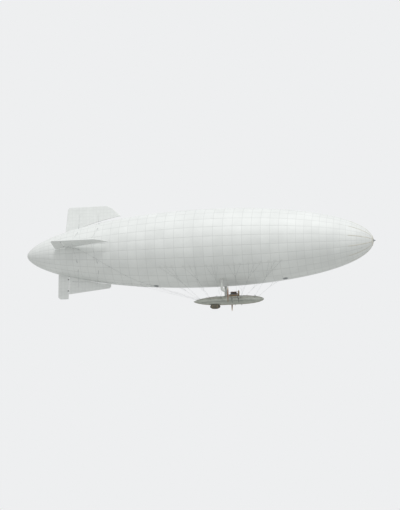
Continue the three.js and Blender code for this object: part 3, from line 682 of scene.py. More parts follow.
hinge_metal = finish("painted_steel", "6F7371", "575B59", 80, 0.45, 0.3, grain_mm=4, relief_mm=0.2)
surfaces = {
    "rudder": ("bottom", "rudder", [(5.5, 7.6), (5.9, 7.95), (7.28, 7.95)]),
    "elevator_port": ("port", "elevator_port", [(5.5, 7.5), (5.9, 7.9), (7.28, 7.9)]),
    "elevator_starboard": ("starboard", "elevator_starboard", [(5.5, 7.5), (5.9, 7.9), (7.28, 7.9)]),
}
brackets = []
for name, (place, body, rim) in surfaces.items():
    turn = Matrix.Rotation(fin_turns[place], 4, "X")
    shape = covered_panel((5.5, 2.6), rim, (7.28, 2.6), (0.012, 0.04), 0.06)
    cover = piece_from(f"{name}_cover", shape, fin_cloth)
    lay_ribs(cover)
    pins = []
    for height in hinge_heights[place]:
        z = height * HALF
        notch_size = (NOTCH["to"] - NOTCH["from"], 0.3, NOTCH["height"])
        cut_from(cover, block(notch_size, ((NOTCH["from"] + NOTCH["to"]) / 2, 0, z), soft=0.001))
        pin_profile = [(0, -0.056), (0.011, -0.056), (0.011, 0.056), (0, 0.056)]
        pins.append(turned(pin_profile, 16, turn @ facing((HINGE_X, 0, z))))
        for end in (-1, 1):
            plate_profile = [(0, 0.044), (0.026, 0.044), (0.028, 0.046), (0.028, 0.052), (0, 0.052)]
            pins.append(turned(plate_profile, 16, turn @ facing((HINGE_X, 0, z), (0, 0, end))))
        eye_profile = [(0.013, -0.035), (0.032, -0.035), (0.034, -0.033), (0.034, 0.033), (0.032, 0.035), (0.013, 0.035)]
        brackets.append(turned(eye_profile, 24, turn @ facing((HINGE_X, 0, z)), looped=True))
        brackets.append(block((0.12, 0.03, 0.056), (HINGE_X + 0.088, 0, z), turn))
    cover.data.transform(turn)
    fit(cover, "fin_fabric", name, body=body)
    fit(piece_from(f"{name}_hinge_pins", merged(*pins), hinge_metal), "tube_metal", body=body)
fit(piece_from("hinge_brackets", merged(*brackets), hinge_metal), "tube_metal")


# Fin stays: pairs of stranded wire from each face of a fin down to patches on the bag. Each has a
# turnbuckle near its foot. All tubes, rods and wires come from one tree that thickens lines.
def tube_tree():
    """Round bars along a base mesh's lines, as thick at each point as the line says."""
    tree, given = tree_with("bars_along_lines", Sides=8, Finish="material")
    rail = add_node(tree, "GeometryNodeMeshToCurve", {"Mesh": given["Base"]}).outputs[0]
    thick = add_node(tree, "GeometryNodeInputNamedAttribute", {"Name": "thick"}, data_type="FLOAT").outputs[0]
    ring = add_node(tree, "GeometryNodeCurvePrimitiveCircle", {"Resolution": given["Sides"], "Radius": 1.0}).outputs[0]
    walls = {"Curve": rail, "Profile Curve": ring, "Scale": thick, "Fill Caps": True}
    close_tree(tree, add_node(tree, "GeometryNodeCurveToMesh", walls).outputs[0], given["Finish"])
    return tree


bars = tube_tree()


def tubes(name, runs, material, sides=8):
    """Round bars along runs of points. A run gives its radius, or one for each point, and may loop."""
    places, links, radii = [], [], []
    for points, radius, *looped in runs:
        start, count = len(places), len(points)
        places += [tuple(p) for p in points]
        radii += radius if isinstance(radius, list) else [radius] * count
        links += [(start + i, start + i + 1) for i in range(count - 1)]
        if looped:
            links.append((start + count - 1, start))
    base = bpy.data.meshes.new("lines")
    base.from_pydata(places, links, [])
    base.attributes.new("thick", "FLOAT", "POINT").data.foreach_set("value", radii)
    made = grow(name, bars, base, Sides=sides, Finish=material)
    made.data.set_sharp_from_angle(angle=math.radians(50))
    return made


def turnbuckle(run_from, run_to, start, length, radius):
    """A barrel and its two eyes on a wire, at a distance from its foot, as a run of points."""
    along = (run_to - run_from).normalized()
    steps = [(0, 0.4), (0.04, 1.4), (0.1, 1.4), (0.12, 0.6), (0.25, 0.6), (0.27, 1), (0.73, 1), (0.75, 0.6), (0.88, 0.6)]
    steps += [(0.9, 1.4), (0.96, 1.4), (1, 0.4)]
    return [run_from + along * (start + length * share) for share, _ in steps], [radius * wide for _, wide in steps]


# The lay of the strands is drawn at 8 mm, about four times as coarse as in real wire.
wire_steel = finish("galvanised_wire", "84888A", "5E6264", 8, 0.42, 0.7, grain_mm=8, relief_mm=0.8)
WIRE = 0.0035
fin_stays = []
for place, turn in fin_turns.items():
    height = 3.0 if place == "bottom" else 3.45
    for station, foot_station in ((4.5, 4.7), (6.1, 6.5)):
        for side in (-1, 1):
            spread = math.radians(90 - 38 * side)
            top = Vector((BAG_TAIL + station, side * 0.048, height))
            foot = on_bag(BAG_TAIL + foot_station, spread, 0.012)
            top, foot = [Matrix.Rotation(turn, 4, "X") @ p for p in (top, foot)]
            fin_stays.append(([foot, top], WIRE))
            fin_stays.append(turnbuckle(foot, top, 0.06, 0.2, 0.011))
fit(tubes("fin_stays", fin_stays, wire_steel, 6), "wire")

# Car: a boat-shaped body of thin metal sheet and doped fabric over ash hoops and stringers, painted dull
# grey. It is decked over, with three cockpits cut through the deck.
CAR_X = 3.35 * HALF
CAR_Z = -9.4 * HALF
CAR_REACH = 6.0 * HALF
CAR_HALF_WIDTH = 0.74 * HALF
CAR_HALF_HEIGHT = 0.72 * HALF
CAR_SQUARENESS = 0.72
CAR_WALL = 0.016
SPLIT_Z = -9.17 * HALF
FLOOR_Z = -9.9 * HALF
COCKPIT_HALF_WIDTH = 0.25
cockpits = {"fore": (2.55, 4.45), "mid": (-0.75, 1.15), "aft": (-3.75, -2.05)}


def car_fullness(t):
    """The share of its full section that the car has at t, from -1 at its stern to 1 at its bow."""
    return (1 - t ** 3.6) ** 0.6 if t > 0 else (1 - abs(t) ** 3) ** 0.8


def on_car(t, angle, lift=0.0):
    """A point on the car's side at t and an angle up from port, raised by lift."""
    across = math.copysign(abs(math.cos(angle)) ** CAR_SQUARENESS, math.cos(angle))
    up = math.copysign(abs(math.sin(angle)) ** CAR_SQUARENESS, math.sin(angle))
    size = car_fullness(t)
    y = size * across * (CAR_HALF_WIDTH + lift)
    return Vector((CAR_X + t * (CAR_REACH + lift), y, CAR_Z + size * up * (CAR_HALF_HEIGHT + lift)))


def car_side_angle(t, z):
    """The angle at which the car's side reaches a height."""
    up = (z - CAR_Z) / (CAR_HALF_HEIGHT * car_fullness(t))
    return math.copysign(math.asin(min(1, abs(up)) ** (1 / CAR_SQUARENESS)), up)


def deck_z(x, y):
    """The deck's height above a point."""
    size = car_fullness(max(-1, min(1, (x - CAR_X) / CAR_REACH)))
    across = min(1, abs(y) / (CAR_HALF_WIDTH * size)) ** (1 / CAR_SQUARENESS)
    return CAR_Z + size * CAR_HALF_HEIGHT * math.sqrt(1 - across * across) ** CAR_SQUARENESS


def car_shell(lift, stations=84, around=64):
    """The car's closed body, moved outwards by lift."""
    ways = [math.sin(math.pi / 2 * (2 * i / stations - 1)) * 0.9999 for i in range(stations + 1)]
    return skin([[on_car(t, 2 * math.pi * j / around, lift) for j in range(around)] for t in ways])


def cockpit_edge(name, grown=0.0, per_corner=8):
    """A cockpit's outline in plan, a rectangle with rounded corners."""
    aft, fore = [CAR_X + share * HALF for share in cockpits[name]]
    round_by = 0.125 + grown
    half_width = COCKPIT_HALF_WIDTH + grown
    centres = [(fore, 1, 0), (aft, 1, 1), (aft, -1, 2), (fore, -1, 3)]
    points = []
    for x, side, quarter in centres:
        inward = -1 if x == fore else 1
        cx = x - inward * grown + inward * round_by
        cy = side * (half_width - round_by)
        for step in range(per_corner + 1):
            angle = math.pi / 2 * (quarter + step / per_corner)
            points.append((cx + round_by * math.cos(angle), cy + round_by * math.sin(angle)))
    return points


def cockpit_cutter(name):
    """A prism through the deck above a cockpit."""
    outline = cockpit_edge(name)
    return skin([[Vector((x, y, z)) for x, y in outline] for z in (SPLIT_Z, SPLIT_Z + 1)])


# Patches of fading are about 250 mm across, and the brush marks are drawn at 12 mm.
car_paint = finish("dull_grey_dope", "AEB1A9", "9A9D95", 250, 0.55, 0.05, grain_mm=12, relief_mm=0.5)
inner = car_shell(-CAR_WALL)
hull_and_deck = merged(car_shell(0), (inner[0], [tuple(reversed(face)) for face in inner[1]]))
car_mesh = bpy.data.meshes.new("car_body")
car_mesh.from_pydata([tuple(v) for v in hull_and_deck[0]], [], hull_and_deck[1])
car_mesh.materials.append(car_paint)
car_body = bpy.data.objects.new("car_body", car_mesh)
scene.collection.objects.link(car_body)
cut_from(car_body, merged(*[cockpit_cutter(name) for name in cockpits]))
car_body.data.shade_smooth()
car_body.data.set_sharp_from_angle(angle=math.radians(35))
fit(car_body, "car_skin", "car_hull", "car_cowling_fore", "car_cowling_mid", "car_cowling_aft")

# Hoops and stringers: the car's ash frame shows through its skin as low ridges, under strips of the
# same doped fabric. A hoop that a cockpit interrupts stops at the edge of the deck.
ridges = []
for step in range(-10, 11):
    x = step * 0.275
    t = x / CAR_REACH
    cut_through = any(aft * HALF - 0.05 < x < fore * HALF + 0.05 for aft, fore in cockpits.values())
    if cut_through:
        side_angle = car_side_angle(t, SPLIT_Z)
        span = [-math.pi - side_angle + (math.pi + 2 * side_angle) * i / 40 for i in range(41)]
        ridges.append(([on_car(t, a, -0.002) for a in span], 0.007))
    else:
        ridges.append(([on_car(t, 2 * math.pi * i / 56, -0.002) for i in range(56)], 0.007, True))
for degrees in (-145, -120, -60, -35, 35, 145, -165, -15):
    ways = [0.975 * math.sin(math.pi / 2 * (i / 30 - 1)) for i in range(61)]
    ridges.append(([on_car(t, math.radians(degrees), -0.002) for t in ways], 0.006))
fit(tubes("car_hoops_and_stringers", ridges, car_paint, 6), "car_skin")

# Mouldings: a half-round ash strip covers the joint of hull and deck, and a heavier one is the keel.
# They are varnished and screwed on from outside.
ash = finish("varnished_ash", "8A7355", "6B5639", 90, 0.45, grain_mm=5, relief_mm=0.4, stretch=(0.08, 1, 1))
mouldings = []


def off_car(t, z, side, lift=0.0):
    """A point on the car at t, a height and a side, which is 1 for port and -1 for starboard."""
    angle = car_side_angle(t, z)
    return on_car(t, angle if side > 0 else math.pi - angle, lift)


for side in (1, -1):
    line = [off_car(0.952 * math.sin(math.pi / 2 * (i / 30 - 1)), SPLIT_Z, side, 0.001) for i in range(61)]
    mouldings.append((line, 0.009))
keel = [on_car(0.97 * math.sin(math.pi / 2 * (i / 30 - 1)), -math.pi / 2, 0.002) for i in range(61)]
mouldings.append((keel, 0.014))
fit(tubes("car_mouldings", mouldings, ash, 8), "floor_wood")

# Frames inside the cockpits: the same hoops and two stringers a side, bare ash, seen from within. Each
# hoop ends under the leather of the coaming.
frames = []
for step in range(-10, 11):
    t = step * 0.275 / CAR_REACH
    if any(aft < step * 0.55 < fore for aft, fore in cockpits.values()):
        across = (COCKPIT_HALF_WIDTH + 0.012) / (car_fullness(t) * (CAR_HALF_WIDTH - CAR_WALL))
        deck_angle = math.acos(across ** (1 / CAR_SQUARENESS))
        span = [-math.pi - deck_angle + (math.pi + 2 * deck_angle) * i / 56 for i in range(57)]
        frames.append(([on_car(t, a, -CAR_WALL - 0.003) for a in span], 0.008))
for aft, fore in cockpits.values():
    ways = [(aft + (fore - aft) * i / 12) * HALF / CAR_REACH for i in range(13)]
    for side in (1, -1):
        for z in (CAR_Z - 0.09, SPLIT_Z):
            frames.append(([off_car(t, z, side, -CAR_WALL - 0.002) for t in ways], 0.006))
fit(tubes("cockpit_frames", frames, ash, 8), "floor_wood")

# Hand rails: a thin steel tube on short stubs along each side of the car, for the ground crew to hold.
# The screws of the mouldings are set in with them.
RAIL_Z = CAR_Z - 0.15
rails = []
rail_screws = []
for side in (1, -1):
    ways = [-0.74 + 1.5 * i / 50 for i in range(51)]
    line = [off_car(ways[0], RAIL_Z, side)] + [off_car(t, RAIL_Z, side, 0.04) for t in ways]
    rails.append((line + [off_car(ways[-1], RAIL_Z, side)], 0.008))
    for t in ways[6::8]:
        rails.append(([off_car(t, RAIL_Z, side), off_car(t, RAIL_Z, side, 0.04)], [0.012, 0.006]))
    for i in range(36):
        place = off_car(-0.86 + 1.72 * i / 35, SPLIT_Z, side, 0.009)
        rail_screws.append((place, Vector((0, side, 0.25))))
fit(tubes("crew_rails", rails, hinge_metal, 8), "tube_metal")
fit(bolt_heads("moulding_screws", rail_screws, 0.005), "tube_metal")


# Cockpit coamings: rolls of horsehair under brown leather, tacked round the edge of each cockpit.
def leather(name, pale, dark):
    """Worn leather: a pebbled grain drawn at 5 mm, several times life size, rubbed pale on top."""
    material, tree, shader = new_material(name)
    place = add_node(tree, "ShaderNodeTexCoord").outputs["Object"]
    pebbles = add_node(tree, "ShaderNodeTexVoronoi", {"Vector": place, "Scale": 200.0}).outputs["Distance"]
    creases = add_node(tree, "ShaderNodeTexNoise", {"Vector": place, "Scale": 25.0, "Detail": 6.0}).outputs["Fac"]
    rubbed = add_node(tree, "ShaderNodeMapRange", {"Value": creases, "From Min": 0.35, "From Max": 0.7})
    tones = {0: rubbed.outputs["Result"], 6: linear(dark), 7: linear(pale)}
    tree.links.new(add_node(tree, "ShaderNodeMix", tones, data_type="RGBA").outputs[2], shader.inputs["Base Color"])
    height = maths(tree, "MULTIPLY_ADD", creases, 1.5, pebbles)
    bump = add_node(tree, "ShaderNodeBump", {"Height": height, "Distance": 0.0012, "Strength": 0.7})
    tree.links.new(bump.outputs["Normal"], shader.inputs["Normal"])
    gloss = add_node(tree, "ShaderNodeMapRange", {"Value": creases, "To Min": 0.62, "To Max": 0.38})
    tree.links.new(gloss.outputs["Result"], shader.inputs["Roughness"])
    return material


def let_swell(piece, is_held, slack, reach, pressure=4.0, frames=20):
    """Lets a piece swell as cloth under pressure, except where is_held(point) says that it is sewn or
    nailed down. Slack is the share by which the cloth is too large, and reach is the furthest move."""
    start = [v.co.copy() for v in piece.data.vertices]
    stitches = piece.vertex_groups.new(name="stitches")
    stitches.add([v.index for v in piece.data.vertices if is_held(v)], 1.0, "REPLACE")
    cloth = piece.modifiers.new("stuffing", "CLOTH")
    cloth.point_cache.frame_start = 1
    cloth.point_cache.frame_end = frames
    cloth.settings.vertex_group_mass = "stitches"
    cloth.settings.use_pressure = True
    cloth.settings.uniform_pressure_force = pressure
    cloth.settings.shrink_min = -slack
    cloth.settings.effector_weights.gravity = 0
    for frame in range(1, frames + 1):
        scene.frame_set(frame)
    settle(piece)
    for vertex, was in zip(piece.data.vertices, start):
        moved = vertex.co - was
        vertex.co = was + moved * min(1, reach / max(moved.length, 0.000001))
    scene.frame_set(1)
    return piece


brown_leather = leather("worn_brown_leather", "6E4A32", "452B1C")
ROLL_RADIUS = 0.0162
ROLL_SIDES = 20
TACK_GAP = 20
for name in cockpits:
    plan = [Vector(p) for p in cockpit_edge(name, 0.006)]
    plan = evenly(plan + [plan[0]], 0.006)[:-1]
    roll = [Vector((p.x, p.y, deck_z(p.x, p.y) + 0.004)) for p in plan]
    from_tack = [min(i % TACK_GAP, TACK_GAP - i % TACK_GAP) for i in range(len(roll))]
    pinch = [ROLL_RADIUS - 0.0015 * max(0, 1 - steps / 4) for steps in from_tack]
    coaming = tubes(f"coaming_{name}", [(roll, pinch, True)], brown_leather, ROLL_SIDES)

    def is_tacked(v):
        return from_tack[v.index // ROLL_SIDES] == 0 or v.co.z < roll[v.index // ROLL_SIDES].z - 0.7 * ROLL_RADIUS

    fit(let_swell(coaming, is_tacked, 0.02, 0.003), "seat_leather")

# Floor: a plywood deck screwed down on the car's hoops, bare and scuffed.
plywood = finish("scuffed_plywood", "A98A5F", "84663F", 140, 0.65, grain_mm=7, relief_mm=0.4, stretch=(0.12, 1, 1))
frame["nodes"]["car_floor"].data.materials.clear()
frame["nodes"]["car_floor"].data.materials.append(plywood)

# Seats: a plywood box with a raked board behind it, and leather pads stuffed with horsehair. Each pad is
# sewn in channels, with a welt round its seam.
PAD_CELL = 0.0051
PAD_CHANNELS = 5
WELT_RISE = 0.25
seat_places = {}
for name, abreast in (("fore", 2), ("mid", 2), ("aft", 1)):
    seat_x = CAR_X + cockpits[name][0] * HALF + 0.26
    for label, y in ((("_port", 0.125), ("_starboard", -0.125)) if abreast == 2 else (("", 0),)):
        seat_places[name + label] = Vector((seat_x, y, FLOOR_Z + 0.0005))


def pad_form(x, y, z, channels=PAD_CHANNELS):
    """A point of a unit cube's skin moved to where it lies on a pad as it is sewn, before it is stuffed."""
    bulge = (abs(x) ** 5 + abs(y) ** 5 + abs(z) ** 5) ** 0.2
    x, y, z = x / bulge, y / bulge, z / bulge
    seam = (1 - abs(math.sin(math.pi * channels * (y + 1) / 2))) ** 3
    top = max(0, z)
    z *= 1 + 0.2 * top * (1 - x * x) * (1 - y * y)
    z -= 0.28 * top * seam * (1 - x ** 6)
    return x * (1 - 0.05 * (1 - y * y)), y * (1 - 0.05 * (1 - x * x)), z


def stuffed_pad(half):
    """A pad of given half sizes, swollen between the stitches of its channels, which run along X, and its
    welt. Its crown faces +Z."""
    work = bmesh.new()
    bmesh.ops.create_cube(work, size=2)
    cells = (round(2 * half[0] / PAD_CELL), 8 * PAD_CHANNELS, 8 * round(half[2] / 4 / PAD_CELL))
    for axis, count in enumerate(cells):
        along = [e for e in work.edges if abs(e.verts[0].co[axis] - e.verts[1].co[axis]) > 0.001]
        bmesh.ops.subdivide_edges(work, edges=along, cuts=count - 1, use_grid_fill=True)
    work.verts.index_update()
    unit = [v.co.copy() for v in work.verts]
    sewn = [Vector([share * size for share, size in zip(pad_form(*p), half)]) for p in unit]
    faces = [tuple(v.index for v in face.verts) for face in work.faces]
    work.free()

    def is_sewn(v):
        x, y, z = unit[v.index]
        at_channel = abs(math.sin(math.pi * PAD_CHANNELS * (y + 1) / 2)) < 0.01
        at_welt = abs(z - WELT_RISE) < 0.01 and max(abs(x), abs(y)) > 0.99
        return z < -0.6 or at_welt or (z > 0.99 and at_channel and abs(x) < 0.97)

    pad = let_swell(piece_from("pad", (sewn, faces), brown_leather), is_sewn, 0.06, 0.008)
    points = [v.co.copy() for v in pad.data.vertices]
    bpy.data.objects.remove(pad)
    return points, faces


def placed(shape, placing, side=1):
    """A shape at a placing, or the mirror image of it."""
    return [placing @ Vector((p.x, side * p.y, p.z)) for p in shape[0]], shape[1]


def welt(half, placing):
    """The line of a pad's welt, at half its height."""
    line = []
    for i in range(48):
        c, s = math.cos(math.pi * i / 24), math.sin(math.pi * i / 24)
        x, y = math.copysign(abs(c) ** 0.4, c), math.copysign(abs(s) ** 0.4, s)
        form = pad_form(x, y, WELT_RISE, 1)
        line.append(placing @ Vector([share * size for share, size in zip(form, half)]))
    return line


cushion_half = (0.112, 0.102, 0.036)
back_half = (0.126, 0.1, 0.017)
cushion, back_pad = stuffed_pad(cushion_half), stuffed_pad(back_half)
for name, seat in seat_places.items():
    back_place = Matrix.Translation(seat + Vector((-0.123, 0, 0.275))) @ Matrix.Rotation(-0.16, 4, "Y")
    wood = [block((0.228, 0.206, 0.098), seat + Vector((0, 0, 0.0495)), soft=0.005)]
    wood.append(block((0.014, 0.208, 0.286), (-0.0145, 0, 0), back_place, soft=0.005))
    fit(piece_from(f"seat_box_{name}", merged(*wood), plywood), "floor_wood")
    cushion_place = Matrix.Translation(seat + Vector((0.002, 0, 0.134)))
    pad_place = back_place @ Matrix.Translation((0.009, 0, 0.008)) @ Matrix.Rotation(math.pi / 2, 4, "Y")
    side = -1 if seat.y < 0 else 1
    pads = [placed(cushion, cushion_place, side), placed(back_pad, pad_place, side)]
    pad_piece = fit(piece_from(f"seat_pads_{name}", merged(*pads), brown_leather, 60), "seat_leather", f"seat_{name}")
    welts = [(welt(cushion_half, cushion_place), 0.003, True), (welt(back_half, pad_place), 0.0025, True)]
    fit(tubes(f"seat_welts_{name}", welts, brown_leather, 6), "seat_leather")

# Windscreens: a pane of safety glass in a bent steel tube frame ahead of each cockpit, raked aft, with
# its foot let into the deck.
SCREEN_RAKE = 0.5
SCREEN_HALF_WIDTH = 0.194
SCREEN_TOP = 0.098


def screen_point(x, foot, y, up):
    """A point of a screen's plane, from its middle at a height over the deck."""
    return Vector((x - math.sin(SCREEN_RAKE) * up, y, foot + math.cos(SCREEN_RAKE) * up))


def window_glass():
    """Clear glass with a faint film of dust."""
    material, tree, shader = new_material("safety_glass")
    place = add_node(tree, "ShaderNodeTexCoord").outputs["Object"]
    dust = add_node(tree, "ShaderNodeTexNoise", {"Vector": place, "Scale": 12.0, "Detail": 4.0}).outputs["Fac"]
    film = add_node(tree, "ShaderNodeMapRange", {"Value": dust, "To Min": 0.02, "To Max": 0.12}).outputs["Result"]
    tree.links.new(film, shader.inputs["Roughness"])
    shader.inputs["Base Color"].default_value = linear("E4ECEA")
    shader.inputs["Transmission Weight"].default_value = 1.0
    shader.inputs["IOR"].default_value = 1.5
    return material


glass = window_glass()
for name, (_, fore_edge) in cockpits.items():
    x = CAR_X + (fore_edge + 0.06) * HALF
    foot = CAR_Z + car_fullness((fore_edge + 0.06) / 6.0) * CAR_HALF_HEIGHT + 0.015
    edge, front, rear = [], [], []
    for i in range(33):
        y = SCREEN_HALF_WIDTH * (i / 16 - 1)
        corner = max(0, abs(y) - SCREEN_HALF_WIDTH + 0.06) / 0.06
        top = SCREEN_TOP - 0.06 * (1 - math.sqrt(max(0, 1 - corner * corner)))
        low = (deck_z(x, y) - foot) / math.cos(SCREEN_RAKE) - 0.008
        edge.append((y, low, max(top, low + 0.01)))
    outline = [(y, top) for y, _, top in edge] + [(y, low) for y, low, _ in reversed(edge)]
    thick = Vector((math.cos(SCREEN_RAKE), 0, math.sin(SCREEN_RAKE))) * 0.002
    faces = [[screen_point(x, foot, y, up) + thick * k for y, up in outline] for k in (-1, 1)]
    pane_faces = []
    count = len(outline)
    for i in range(32):
        pane_faces.append((i, i + 1, count - 2 - i, count - 1 - i))
        pane_faces.append((count + i + 1, count + i, 2 * count - 1 - i, 2 * count - 2 - i))
    for i in range(count):
        j = (i + 1) % count
        pane_faces.append((i, i + count, j + count, j))
    pane = piece_from(f"windscreen_glass_{name}", (faces[0] + faces[1], pane_faces), glass)
    fit(pane, "screen_glass", f"windscreen_{name}")
    hoop = [(edge[0][0], edge[0][1])] + [(y, top) for y, _, top in edge] + [(edge[-1][0], edge[-1][1])]
    runs = [([screen_point(x, foot, y, up) for y, up in hoop], 0.006)]
    runs.append(([screen_point(x, foot, y, low + 0.008) for y, low, _ in edge], 0.005))
    for side in (-1, 1):
        strut_foot = Vector((x + 0.11, side * 0.15, deck_z(x + 0.11, 0.15) - 0.004))
        runs.append(([screen_point(x, foot, side * 0.15, 0.07), strut_foot], 0.004))
    fit(tubes(f"windscreen_frame_{name}", runs, head_metal, 8), "wheel_metal")

# Instrument board: dark varnished walnut across the fore cockpit, with round dials in plated bezels.
# Their faces have plain marks and a hand, and no figures.
BOARD_X = CAR_X + 4.35 * HALF
BOARD_Z = FLOOR_Z + 0.31
walnut = finish("varnished_walnut", "4A3423", "2C1D13", 60, 0.32, grain_mm=4, relief_mm=0.2, stretch=(1, 0.15, 1))
board_t = (BOARD_X - CAR_X) / CAR_REACH
board_edge = []
for side in (1, -1):
    for i in range(13):
        z = BOARD_Z - 0.12 + 0.24 * (i if side > 0 else 12 - i) / 12
        point = off_car(board_t, z, side, -CAR_WALL - 0.012)
        board_edge.append(Vector((0, point.y, point.z)))
board = skin([[p + Vector((x, 0, 0)) for p in board_edge] for x in (BOARD_X - 0.009, BOARD_X + 0.009)])
fit(piece_from("instrument_panel", board, walnut), "panel", "instrument_board")
enamel = finish("dial_enamel", "E3DFD0", "D2CCBA", 40, 0.35, grain_mm=3, relief_mm=0.05)
dial_places = [(-0.2, 0.03, 0.036), (-0.115, 0.045, 0.04), (-0.02, 0.055, 0.044), (0.075, 0.045, 0.04)]
dial_places += [(0.16, 0.03, 0.036), (-0.07, -0.045, 0.028), (0.03, -0.045, 0.028), (0.12, -0.05, 0.028)]
bezels, dial_faces, marks = [], [], []
for number, (y, up, r) in enumerate(dial_places):
    placing = facing((BOARD_X - 0.009, y, BOARD_Z + up), (-1, 0, 0))
    bezel = [(r, -0.001), (r, 0.008), (r - 0.003, 0.011), (r - 0.007, 0.009), (r - 0.007, -0.001)]
    bezels.append(turned(bezel, 32, placing, looped=True))
    dial_faces.append(turned([(0, -0.001), (r - 0.007, -0.001), (r - 0.007, 0.002), (0, 0.002)], 32, placing))
    for step in range(12):
        a = math.pi * step / 6
        ends = [placing @ Vector((k * r * math.cos(a), k * r * math.sin(a), 0.0022)) for k in (0.6, 0.74)]
        marks.append((ends, 0.0008))
    a = 0.7 + number * 1.3
    hand = [placing @ Vector((k * r * math.cos(a), k * r * math.sin(a), 0.004)) for k in (-0.15, 0.6)]
    marks.append((hand, [0.0018, 0.0006]))
fit(piece_from("dial_bezels", merged(*bezels), head_metal), "wheel_metal")
fit(piece_from("dial_faces", merged(*dial_faces), enamel), "panel")
fit(tubes("dial_marks", marks, walnut, 4), "panel")

# Hand wheels: a steel rim, spokes and hub on a tube column. The rudder's wheel faces the helmsman, and
# the elevators' stands beside the other pilot. Their cables run under the floor.
wheel_steel = finish("nickel_plated_steel", "8E9092", "6A6D6F", 35, 0.33, 0.9, grain_mm=2, relief_mm=0.1)
rudder_hub = Vector((CAR_X + 3.85 * HALF, -0.125, BOARD_Z))
elevator_hub = Vector((CAR_X + 3.72 * HALF, 0.18, FLOOR_Z + 0.25))
wheel_rows = [
    ("rudder_wheel", rudder_hub, (math.cos(0.35), 0, math.sin(0.35)), Vector((BOARD_X, -0.125, BOARD_Z - 0.06))),
    ("elevator_wheel", elevator_hub, (0, 1, 0), Vector((elevator_hub.x, 0.18, FLOOR_Z + 0.001))),
]
for name, hub, axle, foot in wheel_rows:
    placing = facing(hub, axle)
    runs = [([placing @ Vector((0.12 * math.cos(a), 0.12 * math.sin(a), 0)) for a in
              [math.pi * i / 24 for i in range(48)]], 0.009, True)]
    for k in range(4):
        a = math.pi / 2 * k
        runs.append(([placing @ Vector((r * math.cos(a), r * math.sin(a), 0)) for r in (0.012, 0.05, 0.12)],
                     [0.008, 0.0055, 0.0065]))
    runs.append(([hub, hub.lerp(foot, 0.97), foot], [0.011, 0.011, 0.02]))
    fit(tubes(name + "_rim_and_column", runs, wheel_steel, 10), "wheel_metal", name)
    cap = turned([(0, -0.02), (0.022, -0.016), (0.024, 0), (0.022, 0.016), (0.01, 0.022), (0, 0.022)], 24, placing)
    fit(piece_from(name + "_hub", cap, wheel_steel), "wheel_metal")

# Bumper bag: rubbered canvas gores round an air bladder, laced up under the car. Its sole is doubled,
# and two webbing straps hold it to the keel.
BUMPER = {"x": CAR_X - 2.3 * HALF, "z": -10.38 * HALF, "length": 0.425, "width": 0.2415, "height": 0.21}
SOLE_Z = -10.74 * HALF
BUMPER_GORES = 12
canvas = finish("rubbered_canvas", "6A655A", "4C483F", 70, 0.75, grain_mm=6, relief_mm=0.5)


def bumper_z(x, y, z):
    """A height kept between the bumper's sole and the car's underside."""
    return max(SOLE_Z, min(z, 2 * CAR_Z - deck_z(x, y) - 0.001))


def on_bumper(turn, rise, lift=0.0):
    """A point of the bumper's skin, flattened at its sole and stopped at the car's underside."""
    swell = 1 + 0.02 * hump(turn * BUMPER_GORES / (2 * math.pi)) * math.cos(rise) + lift
    x = BUMPER["x"] + BUMPER["length"] * swell * math.cos(rise) * math.cos(turn)
    y = BUMPER["width"] * swell * math.cos(rise) * math.sin(turn)
    z = BUMPER["z"] + BUMPER["height"] * swell * math.sin(rise)
    return Vector((x, y, bumper_z(x, y, z)))


BUMPER_ROWS = 60
PER_GORE = 10
STRAP_STATIONS = (-0.2, 0.2)
STRAP_HALF = 0.022
around = BUMPER_GORES * PER_GORE
bumper_rings = []
for i in range(BUMPER_ROWS + 1):
    rise = math.pi * (i / BUMPER_ROWS - 0.5) * 0.999
    bumper_rings.append([on_bumper(2 * math.pi * j / around, rise) for j in range(around)])
bumper = piece_from("landing_bumper", skin(bumper_rings), canvas, 60)


def is_laced(v):
    """Whether a point is on a gore's seam, under a strap, on the sole or against the car."""
    strapped = any(abs(v.co.x - BUMPER["x"] - station) < STRAP_HALF for station in STRAP_STATIONS)
    touching = v.co.z > 2 * CAR_Z - deck_z(v.co.x, v.co.y) - 0.004 or v.co.z < SOLE_Z + 0.001
    return strapped or touching or v.index % PER_GORE == 0


fit(let_swell(bumper, is_laced, 0.05, 0.01), "bumper_canvas", "bumper_bag")
for v in bumper.data.vertices:
    v.co.z = bumper_z(*v.co)
webbing = finish("cotton_webbing", "8C836B", "6F674F", 50, 0.8, grain_mm=5, relief_mm=0.6)
straps = []
for station in STRAP_STATIONS:
    strap_rings = []
    for i in range(41):
        a = math.pi * (0.72 + 1.56 * i / 40)
        ring = []
        for edge, lift in ((-1, 0), (-1, 0.004), (1, 0.004), (1, 0)):
            along = edge * STRAP_HALF
            x = BUMPER["x"] + station + along
            size = math.sqrt(max(0, 1 - ((station + along) / BUMPER["length"]) ** 2))
            y = (BUMPER["width"] * 1.02 * size + lift) * math.cos(a)
            z = BUMPER["z"] + (BUMPER["height"] * 1.02 * size + lift) * math.sin(a)
            keel_z = 2 * CAR_Z - deck_z(x, y) + 0.006
            ring.append(Vector((x, y, max(SOLE_Z + (0 if lift else 0.002), min(z, keel_z)))))
        strap_rings.append(ring)
    straps.append(skin(strap_rings))
fit(piece_from("bumper_straps", merged(*straps), webbing), "bumper_canvas")

